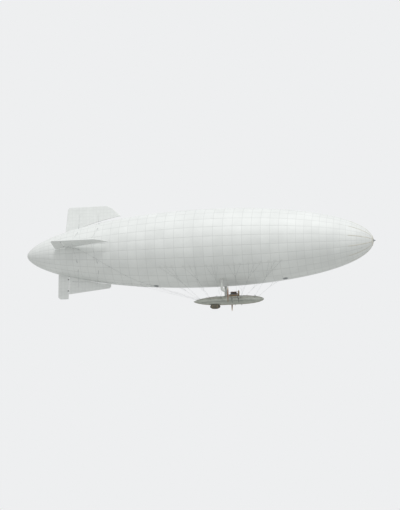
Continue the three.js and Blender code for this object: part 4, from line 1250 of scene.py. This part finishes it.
# Outriggers: spruce engine bearers carried out from the car by steel tubes. The tubes' ends are held in
# welded plates on the car's hoops and clipped under the bearers, and cross wires brace them.
ENGINE_X = 4.6 * HALF
ENGINE_Y = 2.45 * HALF
SHAFT_Z = -9.15 * HALF
BEARER_Z = SHAFT_Z - 0.08
TUBE_Z = BEARER_Z - 0.0475
sides = (("port", 1), ("starboard", -1))
tube_paint = finish("grey_enamelled_tube", "74787A", "5B5F61", 90, 0.4, 0.3, grain_mm=4, relief_mm=0.15)
for name, side in sides:
    y = side * ENGINE_Y
    beams = [block((0.875, 0.035, 0.07), (ENGINE_X, y + k * 0.1, BEARER_Z), soft=0.006) for k in (-1, 1)]
    for x in (ENGINE_X - 0.415, ENGINE_X + 0.415):
        beams.append(block((0.022, 0.166, 0.05), (x, y, BEARER_Z), soft=0.003))
    fit(piece_from(f"engine_bearers_{name}", merged(*beams), ash), "floor_wood")
    runs, plates = [], []
    for x in (ENGINE_X - 0.275, ENGINE_X + 0.275):
        tip = Vector((x, y + side * 0.29, TUBE_Z))
        t = (x - CAR_X) / CAR_REACH
        for start, z_end in ((tip, TUBE_Z + 0.005), (Vector((x, y - side * 0.1, TUBE_Z)), CAR_Z - 0.26)):
            end = off_car(t, z_end, side, 0.004)
            runs.append(([start, end], 0.016))
            along = (end - start).normalized()
            runs.append(([end - along * 0.05, end - along * 0.01], [0.0185, 0.021]))
            normal = Vector((0, side, 0.0 if z_end > CAR_Z - 0.1 else -0.5))
            plates.append(turned([(0, -0.012), (0.036, -0.012), (0.038, 0.0), (0.034, 0.005), (0, 0.005)], 24,
                                 facing(end, normal)))
        runs.append(([tip - Vector((0, side * 0.012, 0)), tip], [0.019, 0.019]))
        for k in (-1, 1):
            plates.append(block((0.045, 0.05, 0.012), (x, y + k * 0.1, TUBE_Z + 0.018), soft=0.003))
    runs.append(([Vector((ENGINE_X + s * 0.275, side * 0.675, TUBE_Z)) for s in (-1, 1)], 0.0112))
    for s in (-1, 1):
        wire_from = Vector((ENGINE_X - s * 0.275, side * 0.69, TUBE_Z))
        wire_to = Vector((ENGINE_X + s * 0.275, side * (ENGINE_Y - 0.16), TUBE_Z))
        runs.append(([wire_from, wire_to], 0.0025))
    fit(tubes(f"outrigger_tubes_{name}", runs, tube_paint, 14), "tube_metal", f"outrigger_{name}")
    fit(piece_from(f"outrigger_plates_{name}", merged(*plates), tube_paint), "tube_metal")

# Engines: water-cooled V8s bolted down on the bearers. Each has a ribbed aluminium crankcase, eight
# separate iron cylinders with open valve gear, exhausts outside the banks and the intake between them.
BLOCK_X = ENGINE_X - 0.025
BLOCK_Z = BEARER_Z + 0.0353
CYLINDER_STATIONS = (-0.18, -0.06, 0.06, 0.18)
CYLINDER_PROFILE = [
    (0, 0.045), (0.05, 0.045), (0.05, 0.055), (0.044, 0.06), (0.044, 0.075), (0.049, 0.08), (0.049, 0.088),
    (0.046, 0.092), (0.046, 0.13), (0.048, 0.133), (0.048, 0.139), (0.046, 0.142), (0.046, 0.185), (0.049, 0.19),
    (0.049, 0.2), (0.04, 0.212), (0.03, 0.218), (0, 0.22),
]
cast_case = finish("oily_cast_aluminium", "7E8182", "54575A", 45, 0.45, 0.6, grain_mm=3, relief_mm=0.3)
black_iron = finish("black_enamelled_iron", "3D3F40", "25272A", 40, 0.4, 0.2, grain_mm=4, relief_mm=0.3)
burnt_steel = finish("burnt_steel", "66503F", "3E332C", 30, 0.6, 0.5, grain_mm=3, relief_mm=0.2)
copper = finish("dull_copper", "955F45", "6A4838", 40, 0.42, 0.8, grain_mm=3, relief_mm=0.1)


def beside(root, lean, height, inward=0.0, ahead=0.0):
    """A point beside a cylinder's axis, which starts at root and leans out by 45 degrees."""
    return root + Vector((ahead, lean * (height - inward) * math.sqrt(0.5), (height + inward) * math.sqrt(0.5)))


for name, side in sides:
    middle = Vector((BLOCK_X, side * ENGINE_Y, BLOCK_Z))
    aft_end = Vector((BLOCK_X - 0.2875, side * ENGINE_Y, SHAFT_Z))
    case = [
        block((0.575, 0.144, 0.128), middle + Vector((0, 0, 0.076)), soft=0.014),
        block((0.5175, 0.235, 0.012), middle + Vector((0, 0, 0.02)), soft=0.003),
        block((0.5, 0.1, 0.07), middle + Vector((0, 0, -0.004)), soft=0.02),
        block((0.022, 0.19, 0.15), middle + Vector((0.277, 0, 0.085)), soft=0.01),
        block((0.07, 0.05, 0.06), middle + Vector((0.315, 0.05, 0.1)), soft=0.012),
        block((0.07, 0.05, 0.06), middle + Vector((0.315, -0.05, 0.1)), soft=0.012),
        turned([(0, 0), (0.065, 0), (0.065, 0.018), (0.052, 0.028), (0.038, 0.034), (0, 0.035)], 32,
               facing(aft_end, (-1, 0, 0))),
    ]
    for i in range(9):
        case.append(block((0.01, 0.156, 0.11), middle + Vector((-0.24 + 0.06 * i, 0, 0.07)), soft=0.003))
    for x in (-0.22, -0.075, 0.075, 0.22):
        for k in (-1, 1):
            case.append(block((0.036, 0.05, 0.03), middle + Vector((x, k * 0.092, 0.0155)), soft=0.004))
    for lean in (-1, 1):
        magneto = facing(middle + Vector((0.34, lean * 0.05, 0.1)), (1, 0, 0))
        case.append(turned([(0, 0), (0.022, 0), (0.024, 0.004), (0.024, 0.012), (0.018, 0.018), (0, 0.018)], 24, magneto))
    fit(piece_from(f"crankcase_{name}", merged(*case), cast_case), "engine_metal", f"engine_{name}")
    shaft = [(0, -0.01), (0.0235, -0.01), (0.0235, 0.262), (0.02, 0.2675), (0, 0.2675)]
    fit(piece_from(f"propeller_shaft_{name}", turned(shaft, 32, facing(aft_end, (-1, 0, 0))), wheel_steel), "engine_metal")
    jackets, gear, exhausts, intakes = [], [], [], []
    for lean in (-1, 1):
        pipe_y = side * ENGINE_Y + lean * 0.21
        for station in CYLINDER_STATIONS:
            root = middle + Vector((station, 0, 0.08))
            jackets.append(turned(CYLINDER_PROFILE, 28, facing(root, (0, lean, 1))))
            for ahead in (-0.018, 0.018):
                push_rod = [(0.06, 0.053), (0.233, 0.05)]
                rocker = [(0.233, 0.054), (0.241, 0.012), (0.233, -0.024)]
                spring = [(0.212, -0.02), (0.234, -0.02)]
                for line, thick in ((push_rod, 0.003), (rocker, 0.005), (spring, 0.008)):
                    gear.append(([beside(root, lean, *spot, ahead) for spot in line], thick))
            bridge = [(0.215, -0.03), (0.24, -0.03), (0.24, 0.03), (0.215, 0.03)]
            gear.append(([beside(root, lean, height, 0.012, ahead) for height, ahead in bridge], 0.005))
            plug = [beside(root, lean, *spot) for spot in ((0.17, -0.04), (0.174, -0.062), (0.176, -0.072))]
            gear.append((plug, [0.007, 0.006, 0.003]))
            bend = Vector((root.x - 0.02, pipe_y, BLOCK_Z + 0.18))
            port_end = beside(root, lean, 0.196, -0.062)
            stub = [beside(root, lean, 0.196, -0.03), port_end, port_end.lerp(bend, 0.5), bend]
            exhausts.append((stub, [0.017, 0.016, 0.015, 0.015]))
            log = Vector((root.x, side * ENGINE_Y, BLOCK_Z + 0.264))
            feed = [beside(root, lean, 0.2, 0.03), beside(root, lean, 0.2, 0.052), log]
            intakes.append((feed, [0.012, 0.012, 0.013]))
        tail = [Vector((BLOCK_X + x, pipe_y, BLOCK_Z + 0.18)) for x in (0.222, 0.215, 0.2, -0.25, -0.312)]
        exhausts.append((tail, [0.012, 0.02, 0.0225, 0.0225, 0.0225]))
        water = [middle + Vector((-0.2, lean * 0.178, 0.222)), middle + Vector((0.2, lean * 0.178, 0.222))]
        water += [middle + Vector((0.29, lean * 0.165, 0.232)), middle + Vector((0.345, lean * 0.13, 0.255))]
        water.append(middle + Vector((0.402, lean * 0.12, 0.26)))
        intakes.append((water, [0.01, 0.011, 0.011, 0.011, 0.013]))
        low_pipe = [middle + Vector((0.1, lean * 0.09, 0.1)), middle + Vector((0.3, lean * 0.11, 0.06))]
        intakes.append((low_pipe + [middle + Vector((0.402, lean * 0.11, 0.06))], 0.012))
    log_line = [middle + Vector((x, 0, 0.264)) for x in (-0.2, -0.19, 0.19, 0.2)]
    intakes.append((log_line, [0.012, 0.018, 0.018, 0.012]))
    intakes.append(([middle + Vector((0, 0, 0.264)), middle + Vector((0, 0, 0.14))], 0.017))
    fit(piece_from(f"cylinders_{name}", merged(*jackets), black_iron), "engine_metal")
    fit(tubes(f"valve_gear_{name}", gear, wheel_steel, 8), "engine_metal")
    fit(tubes(f"exhausts_{name}", exhausts, burnt_steel, 14), "engine_metal")
    fit(tubes(f"intakes_and_water_pipes_{name}", intakes, copper, 12), "engine_metal")
    bolts = []
    for x in (-0.22, -0.075, 0.075, 0.22):
        bolts += [(middle + Vector((x, k * 0.1, 0.031)), Vector((0, 0, 1))) for k in (-1, 1)]
    for i in range(8):
        bolts += [(middle + Vector((-0.21 + 0.06 * i, k * 0.079, z)), Vector((0, k, 0)))
                  for k in (-1, 1) for z in (0.04, 0.115)]
    bolts += ring_of(10, 0.058, facing(aft_end + Vector((-0.02, 0, 0)), (-1, 0, 0)))
    fit(bolt_heads(f"engine_bolts_{name}", bolts, 0.006), "engine_metal")


# Radiators: a brass shell with an arched header tank, standing across the fore ends of the bearers,
# round a core of soldered tubes. The cells are drawn at 13 mm, twice their real size.
def honeycomb():
    """Tube ends soldered side by side: brass edges round cells painted near black, as painted shade inside the open
    tubes.
    """
    material, tree, shader = new_material("honeycomb_core")
    place = add_node(tree, "ShaderNodeTexCoord").outputs["Object"]
    flat = add_node(tree, "ShaderNodeMapping", {"Vector": place, "Scale": (0.0, 1.0, 1.0)}).outputs["Vector"]
    cells = {"Vector": flat, "Scale": 77.0, "Randomness": 0.25}
    edge = add_node(tree, "ShaderNodeTexVoronoi", cells, feature="DISTANCE_TO_EDGE").outputs["Distance"]
    wall = add_node(tree, "ShaderNodeMapRange", {"Value": edge, "From Min": 0.04, "From Max": 0.14})
    # The near-black in each cell is painted shade: the dark inside the open tube ends, laid on a flat core.
    tones = {0: wall.outputs["Result"], 6: linear("8A7347"), 7: linear("14120E")}
    tree.links.new(add_node(tree, "ShaderNodeMix", tones, data_type="RGBA").outputs[2], shader.inputs["Base Color"])
    relief = {"Height": wall.outputs["Result"], "Distance": -0.004, "Strength": 1.0}
    tree.links.new(add_node(tree, "ShaderNodeBump", relief).outputs["Normal"], shader.inputs["Normal"])
    shader.inputs["Metallic"].default_value = 0.6
    shader.inputs["Roughness"].default_value = 0.45
    return material


def radiator_outline(inset):
    """A radiator's outline from its foot round its arched top, drawn in by inset."""
    half = 0.18 - inset
    arch_radius = 0.2546 - inset
    lean = math.asin(half / arch_radius)
    top = [(arch_radius * math.sin(a), 0.108 + arch_radius * math.cos(a)) for a in
           [lean - 2 * lean * i / 24 for i in range(25)]]
    return [(half, inset)] + top + [(-half, inset)]


brass = finish("tarnished_brass", "86724B", "5C4B30", 60, 0.42, 0.8, grain_mm=3, relief_mm=0.15)
core_brass = honeycomb()
for name, side in sides:
    foot = Vector((ENGINE_X + 0.37, side * ENGINE_Y, BLOCK_Z))
    outer, inner = radiator_outline(0.0), radiator_outline(0.024)
    rings = []
    for (y0, z0), (y1, z1) in zip(outer, inner):
        rings.append([foot + Vector(p) for p in ((0, y0, z0), (0.065, y0, z0), (0.065, y1, z1), (0, y1, z1))])
    shell = [skin(rings, looped=True)]
    tank = [(y, z) for y, z in radiator_outline(0.012) if z > 0.255]
    shell.append(skin([[foot + Vector((x, y, z)) for y, z in tank] for x in (0.004, 0.061)]))
    neck = [(0, 0), (0.026, 0), (0.026, 0.008), (0.02, 0.012), (0.02, 0.022), (0.028, 0.024), (0.028, 0.036)]
    neck += [(0.024, 0.04), (0.008, 0.042), (0.008, 0.05), (0, 0.05)]
    shell.append(turned(neck, 32, facing(foot + Vector((0.0325, 0, 0.356)))))
    for k in (-1, 1):
        shell.append(block((0.05, 0.05, 0.03), foot + Vector((0.0325, k * 0.1, 0.012)), soft=0.005))
    fit(piece_from(f"radiator_shell_{name}", merged(*shell), brass), "radiator_metal", f"radiator_{name}")
    core = skin([[foot + Vector((x, y, z)) for y, z in radiator_outline(0.02)] for x in (0.012, 0.053)])
    fit(piece_from(f"radiator_core_{name}", core, core_brass), "radiator_metal")
    rivets = []
    for x, out in ((0.0655, 1), (-0.0005, -1)):
        for (y, z) in radiator_outline(0.012)[1:-1:3] + [(k * 0.168, z) for k in (-1, 1) for z in (0.04, 0.12, 0.2)]:
            rivets.append((foot + Vector((x, y, z)), Vector((out, 0, 0))))
    fit(bolt_heads(f"radiator_rivets_{name}", rivets, 0.0045), "radiator_metal")


# Propellers: two blades carved from glued layers of mahogany and ash and varnished, with brass sheet
# nailed over their tips and leading edges. Steel plates clamp the hub on its shaft.
def laminated_wood():
    """Layers 22 mm thick across the shaft, each its own tone, with a long grain along the blade."""
    material, tree, shader = new_material("laminated_mahogany")
    place = add_node(tree, "ShaderNodeTexCoord").outputs["Object"]
    layers = add_node(tree, "ShaderNodeVectorMath", {0: place, 1: (45.0, 0.0, 0.0)}, operation="MULTIPLY").outputs[0]
    whole = add_node(tree, "ShaderNodeVectorMath", {0: layers}, operation="FLOOR").outputs[0]
    tone = add_node(tree, "ShaderNodeTexWhiteNoise", {"Vector": whole}, noise_dimensions="3D").outputs["Value"]
    along = add_node(tree, "ShaderNodeMapping", {"Vector": place, "Scale": (1.0, 1.0, 0.08)}).outputs["Vector"]
    grain = add_node(tree, "ShaderNodeTexNoise", {"Vector": along, "Scale": 160.0, "Detail": 4.0}).outputs["Fac"]
    mixed = maths(tree, "MULTIPLY_ADD", grain, 0.5, maths(tree, "MULTIPLY", tone, 0.6))
    tones = {0: mixed, 6: linear("4E2C18"), 7: linear("9A6A3E")}
    tree.links.new(add_node(tree, "ShaderNodeMix", tones, data_type="RGBA").outputs[2], shader.inputs["Base Color"])
    bump = add_node(tree, "ShaderNodeBump", {"Height": grain, "Distance": 0.0004, "Strength": 0.5})
    tree.links.new(bump.outputs["Normal"], shader.inputs["Normal"])
    shader.inputs["Roughness"].default_value = 0.3
    shader.inputs["Coat Weight"].default_value = 0.5
    shader.inputs["Coat Roughness"].default_value = 0.15
    return material


PROPELLER = Vector((ENGINE_X - 0.52, ENGINE_Y, SHAFT_Z))
BLADE_REACH = 1.45 * HALF
TIP_FROM = 0.84


def on_blade(t, around, hand, grown=0.0):
    """A point of a blade's skin at a share of its reach and an angle round its section."""
    chord = (0.1 + 0.17 * math.sin(math.pi * min(1, 0.25 + 0.62 * t))) * HALF
    thick = (0.1 * (1 - t) + 0.02) * HALF
    rounding = math.sqrt(max(0.0004, 1 - (max(0, t - TIP_FROM) / (1 - TIP_FROM)) ** 2))
    twist = hand * (0.95 - 0.62 * t)
    across = (chord / 2 + grown) * rounding * math.cos(around)
    camber = math.sin(around) * (0.62 if math.sin(around) < 0 else 1.0)
    deep = (thick / 2 + grown) * rounding * camber * (1 - 0.25 * math.cos(around) * hand)
    x = deep * math.cos(twist) - across * math.sin(twist)
    y = deep * math.sin(twist) + across * math.cos(twist)
    return Vector((x, y, t * BLADE_REACH))


mahogany = laminated_wood()
tip_brass = finish("brass_sheet", "B49A62", "8E7645", 50, 0.35, 0.9, grain_mm=3, relief_mm=0.1)
for name, side in sides:
    centre = Matrix.Translation((PROPELLER.x, side * PROPELLER.y, PROPELLER.z))
    wooden, sheathing, nails = [], [], []
    for turn in (Matrix(), Matrix.Rotation(math.pi, 4, "X")):
        placing = centre @ turn
        ways = [0.03 + 0.97 * math.sin(math.pi / 2 * i / 44) for i in range(45)]
        around = [2 * math.pi * j / 32 for j in range(32)]
        wooden.append(skin([[placing @ on_blade(t, a, side) for a in around] for t in ways]))
        lead = 0 if side > 0 else math.pi
        wrap = [lead + math.radians(-115 + 230 * j / 16) for j in range(17)]
        rings = []
        for t in [0.6 + 0.399 * i / 24 for i in range(25)]:
            ring = [placing @ on_blade(t, a, side, 0.0015) for a in wrap]
            rings.append(ring + [placing @ on_blade(t, a, side, -0.001) for a in reversed(wrap)])
        sheathing.append(skin(rings))
        for t in [0.64 + 0.04 * i for i in range(8)]:
            for a in (wrap[2], wrap[-3]):
                point = on_blade(t, a, side, 0.0015)
                out = point - on_blade(t, a, side, -0.004)
                nails.append((placing @ point, placing.to_3x3() @ out))
    axle = facing((PROPELLER.x, side * PROPELLER.y, PROPELLER.z), (1, 0, 0))
    boss = [(0.0252, -0.038), (0.06, -0.038), (0.066, -0.03), (0.066, 0.03), (0.06, 0.038), (0.0252, 0.038)]
    wooden.append(turned(boss, 48, axle, looped=True))
    body = f"propeller_{name}"
    blades = piece_from(f"propeller_blades_{name}", merged(*wooden), mahogany, 40)
    fit(blades, "blade_wood", body, body=body)
    fit(piece_from(f"propeller_tips_{name}", merged(*sheathing), tip_brass, 40), "radiator_metal", body=body)
    plates = []
    for end in (-1, 1):
        plate = [(0.0252, 0.037), (0.056, 0.037), (0.058, 0.038), (0.058, 0.043), (0.055, 0.045), (0.0252, 0.045)]
        plates.append(turned(plate, 48, axle @ Matrix.Rotation(0 if end > 0 else math.pi, 4, "X"), looped=True))
        nails += ring_of(8, 0.044, axle @ Matrix.Rotation(0 if end > 0 else math.pi, 4, "X") @ Matrix.Translation((0, 0, 0.045)))
    fit(piece_from(f"hub_plates_{name}", merged(*plates), wheel_steel), "engine_metal", body=body)
    fit(bolt_heads(f"propeller_bolts_{name}", nails, 0.0045), "engine_metal", body=body)

# Air ducts: doped fabric sleeves kept round by cane hoops, from an aluminium scoop in each propeller's
# wash up to the bag. A flap in the scoop's mouth closes it, and is shown shut.
SCOOP = Vector((PROPELLER.x - 0.15, ENGINE_Y, SHAFT_Z + 0.36))
HOOP_PITCH = 0.16
duct_cloth = finish("doped_duct_fabric", "CDCFCB", "B9BBB7", 160, 0.6, 0.1, grain_mm=7, relief_mm=0.6)
scoop_metal = finish("spun_aluminium", "A9ACAE", "8B8E90", 70, 0.35, 0.85, grain_mm=3, relief_mm=0.1)


def smooth_route(points, step):
    """A smooth line through points, cut into steps."""
    held = [points[0] * 2 - points[1], *points, points[-1] * 2 - points[-2]]
    line = []
    for a, b, c, d in zip(held, held[1:], held[2:], held[3:]):
        count = max(2, round((c - b).length / step))
        for i in range(count):
            s = i / count
            curve = (b * 2 + (c - a) * s + (a * 2 - b * 5 + c * 4 - d) * s ** 2 + (b * 3 - a - c * 3 + d) * s ** 3)
            line.append(curve / 2)
    return line + [points[-1]]


for name, side in sides:
    start = Vector((SCOOP.x, side * SCOOP.y, SCOOP.z))
    offsets = [(0, 1, 0), (-0.15, 1, 0.01), (-0.31, 1, 0.14), (-0.375, 0.98, 0.49), (-0.375, 0.9, 1.44)]
    stops = [Vector((start.x + dx, start.y * share, start.z + dz)) for dx, share, dz in offsets]
    route = smooth_route(stops, 0.02)
    route = [p for p in route if math.hypot(p.y, p.z) > bag_radius(p.x) - 0.06]
    radii, hoops = [], []
    run = 0.0
    for i, point in enumerate(route):
        run += (point - route[i - 1]).length if i else 0
        radii.append(0.119 - 0.006 * hump(run / HOOP_PITCH))
        if i > 3 and int(run / HOOP_PITCH) > len(hoops) and i < len(route) - 3:
            along = (route[i + 1] - route[i - 1]).normalized()
            ring = facing(point, along)
            circle = [ring @ Vector((0.12 * math.cos(a), 0.12 * math.sin(a), 0)) for a in
                      [math.pi * k / 20 for k in range(40)]]
            hoops.append((circle, 0.0045, True))
    inside = [p for p in route if p.x < start.x - 0.03 or p.z > start.z + 0.05]
    fit(tubes(f"duct_sleeve_{name}", [(inside, radii[-len(inside):])], duct_cloth, 40), "duct_fabric", f"air_duct_{name}")
    fit(tubes(f"duct_hoops_{name}", hoops, tape_cloth, 8), "duct_fabric")
    mouth = facing(start + Vector((0.01, 0, 0)), (-1, 0, 0))
    lip = [(0.121, 0.0), (0.128, -0.004), (0.134, 0.0), (0.135, 0.008), (0.128, 0.02), (0.122, 0.05), (0.118, 0.05)]
    lip += [(0.112, 0.02), (0.112, 0.004)]
    fit(piece_from(f"scoop_mouth_{name}", turned(lip, 48, mouth, looped=True), scoop_metal), "valve_metal")
    flap = [(0, 0.03), (0.108, 0.03), (0.11, 0.032), (0.11, 0.034), (0.06, 0.037), (0, 0.038)]
    flap_parts = [turned(flap, 48, mouth)]
    fit(piece_from(f"scoop_flap_{name}", merged(*flap_parts), scoop_metal), "valve_metal")
    spindle = [start + Vector((-0.02, y, 0)) for y in (-0.145, -0.14, 0.14, 0.145)]
    lever = [start + Vector((-0.02, side * -0.142, 0)), start + Vector((-0.02, side * -0.144, -0.07))]
    runs = [(spindle, 0.006), (lever, [0.009, 0.006])]
    fit(tubes(f"flap_spindle_{name}", runs, head_metal, 10), "valve_metal")

# Suspension: stranded steel wires from the car and outriggers to fans of doped fabric fingers that are
# cemented on the bag's lower flanks. Each wire ends in a ring, and has a turnbuckle at its foot.
FLANK = math.radians(-45)
FINGER_SPREAD = 0.5
finger_cloth = finish("doped_finger_patch", "D3D5D3", "C4C6C4", 120, 0.55, 0.1, grain_mm=7, relief_mm=0.4)


def finger_fan(x, side):
    """Five fabric fingers that spread over the bag from the end of a wire, and the pad at their root."""
    angle = FLANK if side > 0 else -math.pi - FLANK
    around = side / bag_radius(x)
    shapes = []
    for number in range(-2, 3):
        lean = math.radians(28 * number)
        length = 0.24 - 0.02 * abs(number)
        rings = []
        for i in range(9):
            share = i / 8
            half_width = 0.021 * math.sqrt(max(0.01, 1 - (2 * share - 1) ** 8))
            ring = []
            for across, lift in ((-1, -0.006), (-1, 0.006), (-0.6, 0.009), (0, 0.01), (0.6, 0.009), (1, 0.006), (1, -0.006)):
                out, wide = share * length, across * half_width
                dx = out * math.sin(lean) + wide * math.cos(lean)
                ds = out * math.cos(lean) - wide * math.sin(lean)
                ring.append(on_bag(x + dx, angle + ds * around, lift))
            rings.append(ring)
        shapes.append(skin(rings))
    pad = []
    for size, lift in ((1.0, -0.006), (1.0, 0.009), (0.85, 0.014), (0.02, 0.015)):
        circle = [math.pi * k / 16 for k in range(32)]
        pad.append([on_bag(x + 0.05 * size * math.cos(a), angle + 0.045 * size * math.sin(a) * around, lift)
                    for a in circle])
    shapes.append(skin(pad))
    return shapes


feet = {}
for number, foot_way, head_way in ((1, 4.4, 8.4), (2, 2.1, 5.0), (4, -1.2, -2.2), (5, -3.0, -6.0), (6, -4.7, -10.0)):
    foot_x = CAR_X + foot_way * HALF
    foot_y = car_fullness(foot_way / 6.0) * CAR_HALF_WIDTH + 0.008
    feet[number] = (foot_x, foot_y, SPLIT_Z - 0.03, CAR_X + head_way * HALF)
feet[3] = (ENGINE_X + 0.275, ENGINE_Y + 0.28, TUBE_Z + 0.0363, ENGINE_X + 0.175)
lugs = []
for name, side in sides:
    for number, (foot_x, foot_y, foot_z, head_x) in sorted(feet.items()):
        foot = Vector((foot_x, side * foot_y, foot_z))
        middle_head = on_bag(head_x, FLANK if side > 0 else -math.pi - FLANK)
        hub = middle_head.lerp(foot, 0.42)
        runs = [([foot, hub], WIRE + 0.0005), turnbuckle(foot, hub, 0.05, 0.2, 0.011)]
        ring = facing(hub, (1, 0, 0))
        circle = [ring @ Vector((0.016 * math.cos(a), 0.016 * math.sin(a), 0)) for a in
                  [math.pi * k / 10 for k in range(20)]]
        runs.append((circle, 0.0045, True))
        fans = []
        for k in (-1, 0, 1):
            head = on_bag(head_x + k * FINGER_SPREAD, FLANK if side > 0 else -math.pi - FLANK, 0.004)
            runs.append(([hub, head], WIRE))
            along = (hub - head).normalized()
            runs.append(([head, head + along * 0.02, head + along * 0.07, head + along * 0.09],
                         [0.01, 0.008, 0.006, 0.0035]))
            fans += finger_fan(head_x + k * FINGER_SPREAD, side)
        fit(tubes(f"bridle_wires_{name}_{number}", runs, wire_steel, 8), "wire", f"bridle_{name}_{number}")
        fit(piece_from(f"finger_patches_{name}_{number}", merged(*fans), finger_cloth), "bag_fabric")
        lugs.append(block((0.045, 0.03, 0.05), foot + Vector((0, -side * 0.008, -0.012)), soft=0.006))
fit(piece_from("wire_lugs", merged(*lugs), tube_paint), "tube_metal")

# Control cables: pairs of flexible wire that lead from the car's stern along the bag, through steel
# eyelets on doped patches, to brass fairleads on the fins. The horns that they pull are inside the fins.
CABLE = 0.003
CABLE_LIFT = 0.024
cable_rows = [
    (-0.8, (-5.0, -85), (-8.2, -85), (-11.7, 0.05, -2.45)),
    (-0.87, (-5.6, -78), (-10.8, -8), (-11.7, 2.42, -0.05)),
]
cables, eyelets, patches = [], [], []
for side in (1, -1):
    for start, (x_from, turn_from), (x_to, turn_to), (x, y, z) in cable_rows:
        line = [off_car(start, SPLIT_Z + 0.03, side, -0.004)]
        for i in range(25):
            angle = math.radians(turn_from + (turn_to - turn_from) * i / 24)
            angle = angle if side > 0 else -math.pi - angle
            station = x_from + (x_to - x_from) * i / 24
            line.append(on_bag(station, angle, CABLE_LIFT))
            if i % 6 == 0:
                ring = facing(line[-1], line[-1] - line[-2])
                circle = [math.pi * k / 8 for k in range(16)]
                eyelets.append(([ring @ Vector((0.018 * math.cos(a), 0.018 * math.sin(a), 0)) for a in circle], 0.004, True))
                patch = [(0, -0.02), (0.07, -0.02), (0.075, 0.008), (0.07, 0.011), (0, 0.012)]
                outward = Vector((0, math.cos(angle), math.sin(angle)))
                patches.append(turned(patch, 24, facing(on_bag(station, angle), outward)))
        fairlead = Vector((x, side * y, z))
        along = (fairlead - line[-1]).normalized()
        eyelets.append(([fairlead - along * 0.05, fairlead - along * 0.01, fairlead + along * 0.02], [0.007, 0.012, 0.012]))
        cables.append((line + [fairlead], CABLE))
fit(tubes("control_cables", cables, wire_steel, 6), "wire")
fit(tubes("cable_eyelets", eyelets, head_metal, 8), "wire")
fit(piece_from("eyelet_patches", merged(*patches), finger_cloth), "bag_fabric")

# Valves: spun aluminium, clamped through the bag's fabric by a ring of bolts. The lid lifts on a stem
# held by a spider. Two let air out below, and the gas valve is on top.
valve_profile = [
    (0, -0.09), (0.21, -0.09), (0.224, 0.0), (0.225, 0.012), (0.2, 0.018), (0.182, 0.02), (0.176, 0.032), (0.166, 0.036),
    (0.158, 0.03), (0.15, 0.03), (0.12, 0.038), (0.06, 0.044), (0.03, 0.046), (0.03, 0.05), (0, 0.05),
]
for name, x, up in (("air_valve_fore", 6.5, -1), ("air_valve_aft", -4.5, -1), ("gas_valve", -2.0, 1)):
    slope = (bag_radius(x - 0.1) - bag_radius(x + 0.1)) / 0.2
    placing = facing((x, 0, up * bag_radius(x)), (slope, 0, up))
    fit(piece_from(name + "_body", turned(valve_profile, 64, placing), scoop_metal), "valve_metal", name)
    arms = []
    for k in range(6):
        a = math.pi / 3 * k
        arms.append(([placing @ Vector((r * math.cos(a), r * math.sin(a), z)) for r, z in
                      ((0.19, 0.016), (0.172, 0.04), (0.1, 0.05), (0.0, 0.055))], [0.006, 0.006, 0.006, 0.008]))
    fit(tubes(name + "_spider", arms, head_metal, 8), "valve_metal")
    fit(bolt_heads(name + "_bolts", ring_of(18, 0.207, placing @ Matrix.Translation((0, 0, 0.016))), 0.008), "valve_metal")
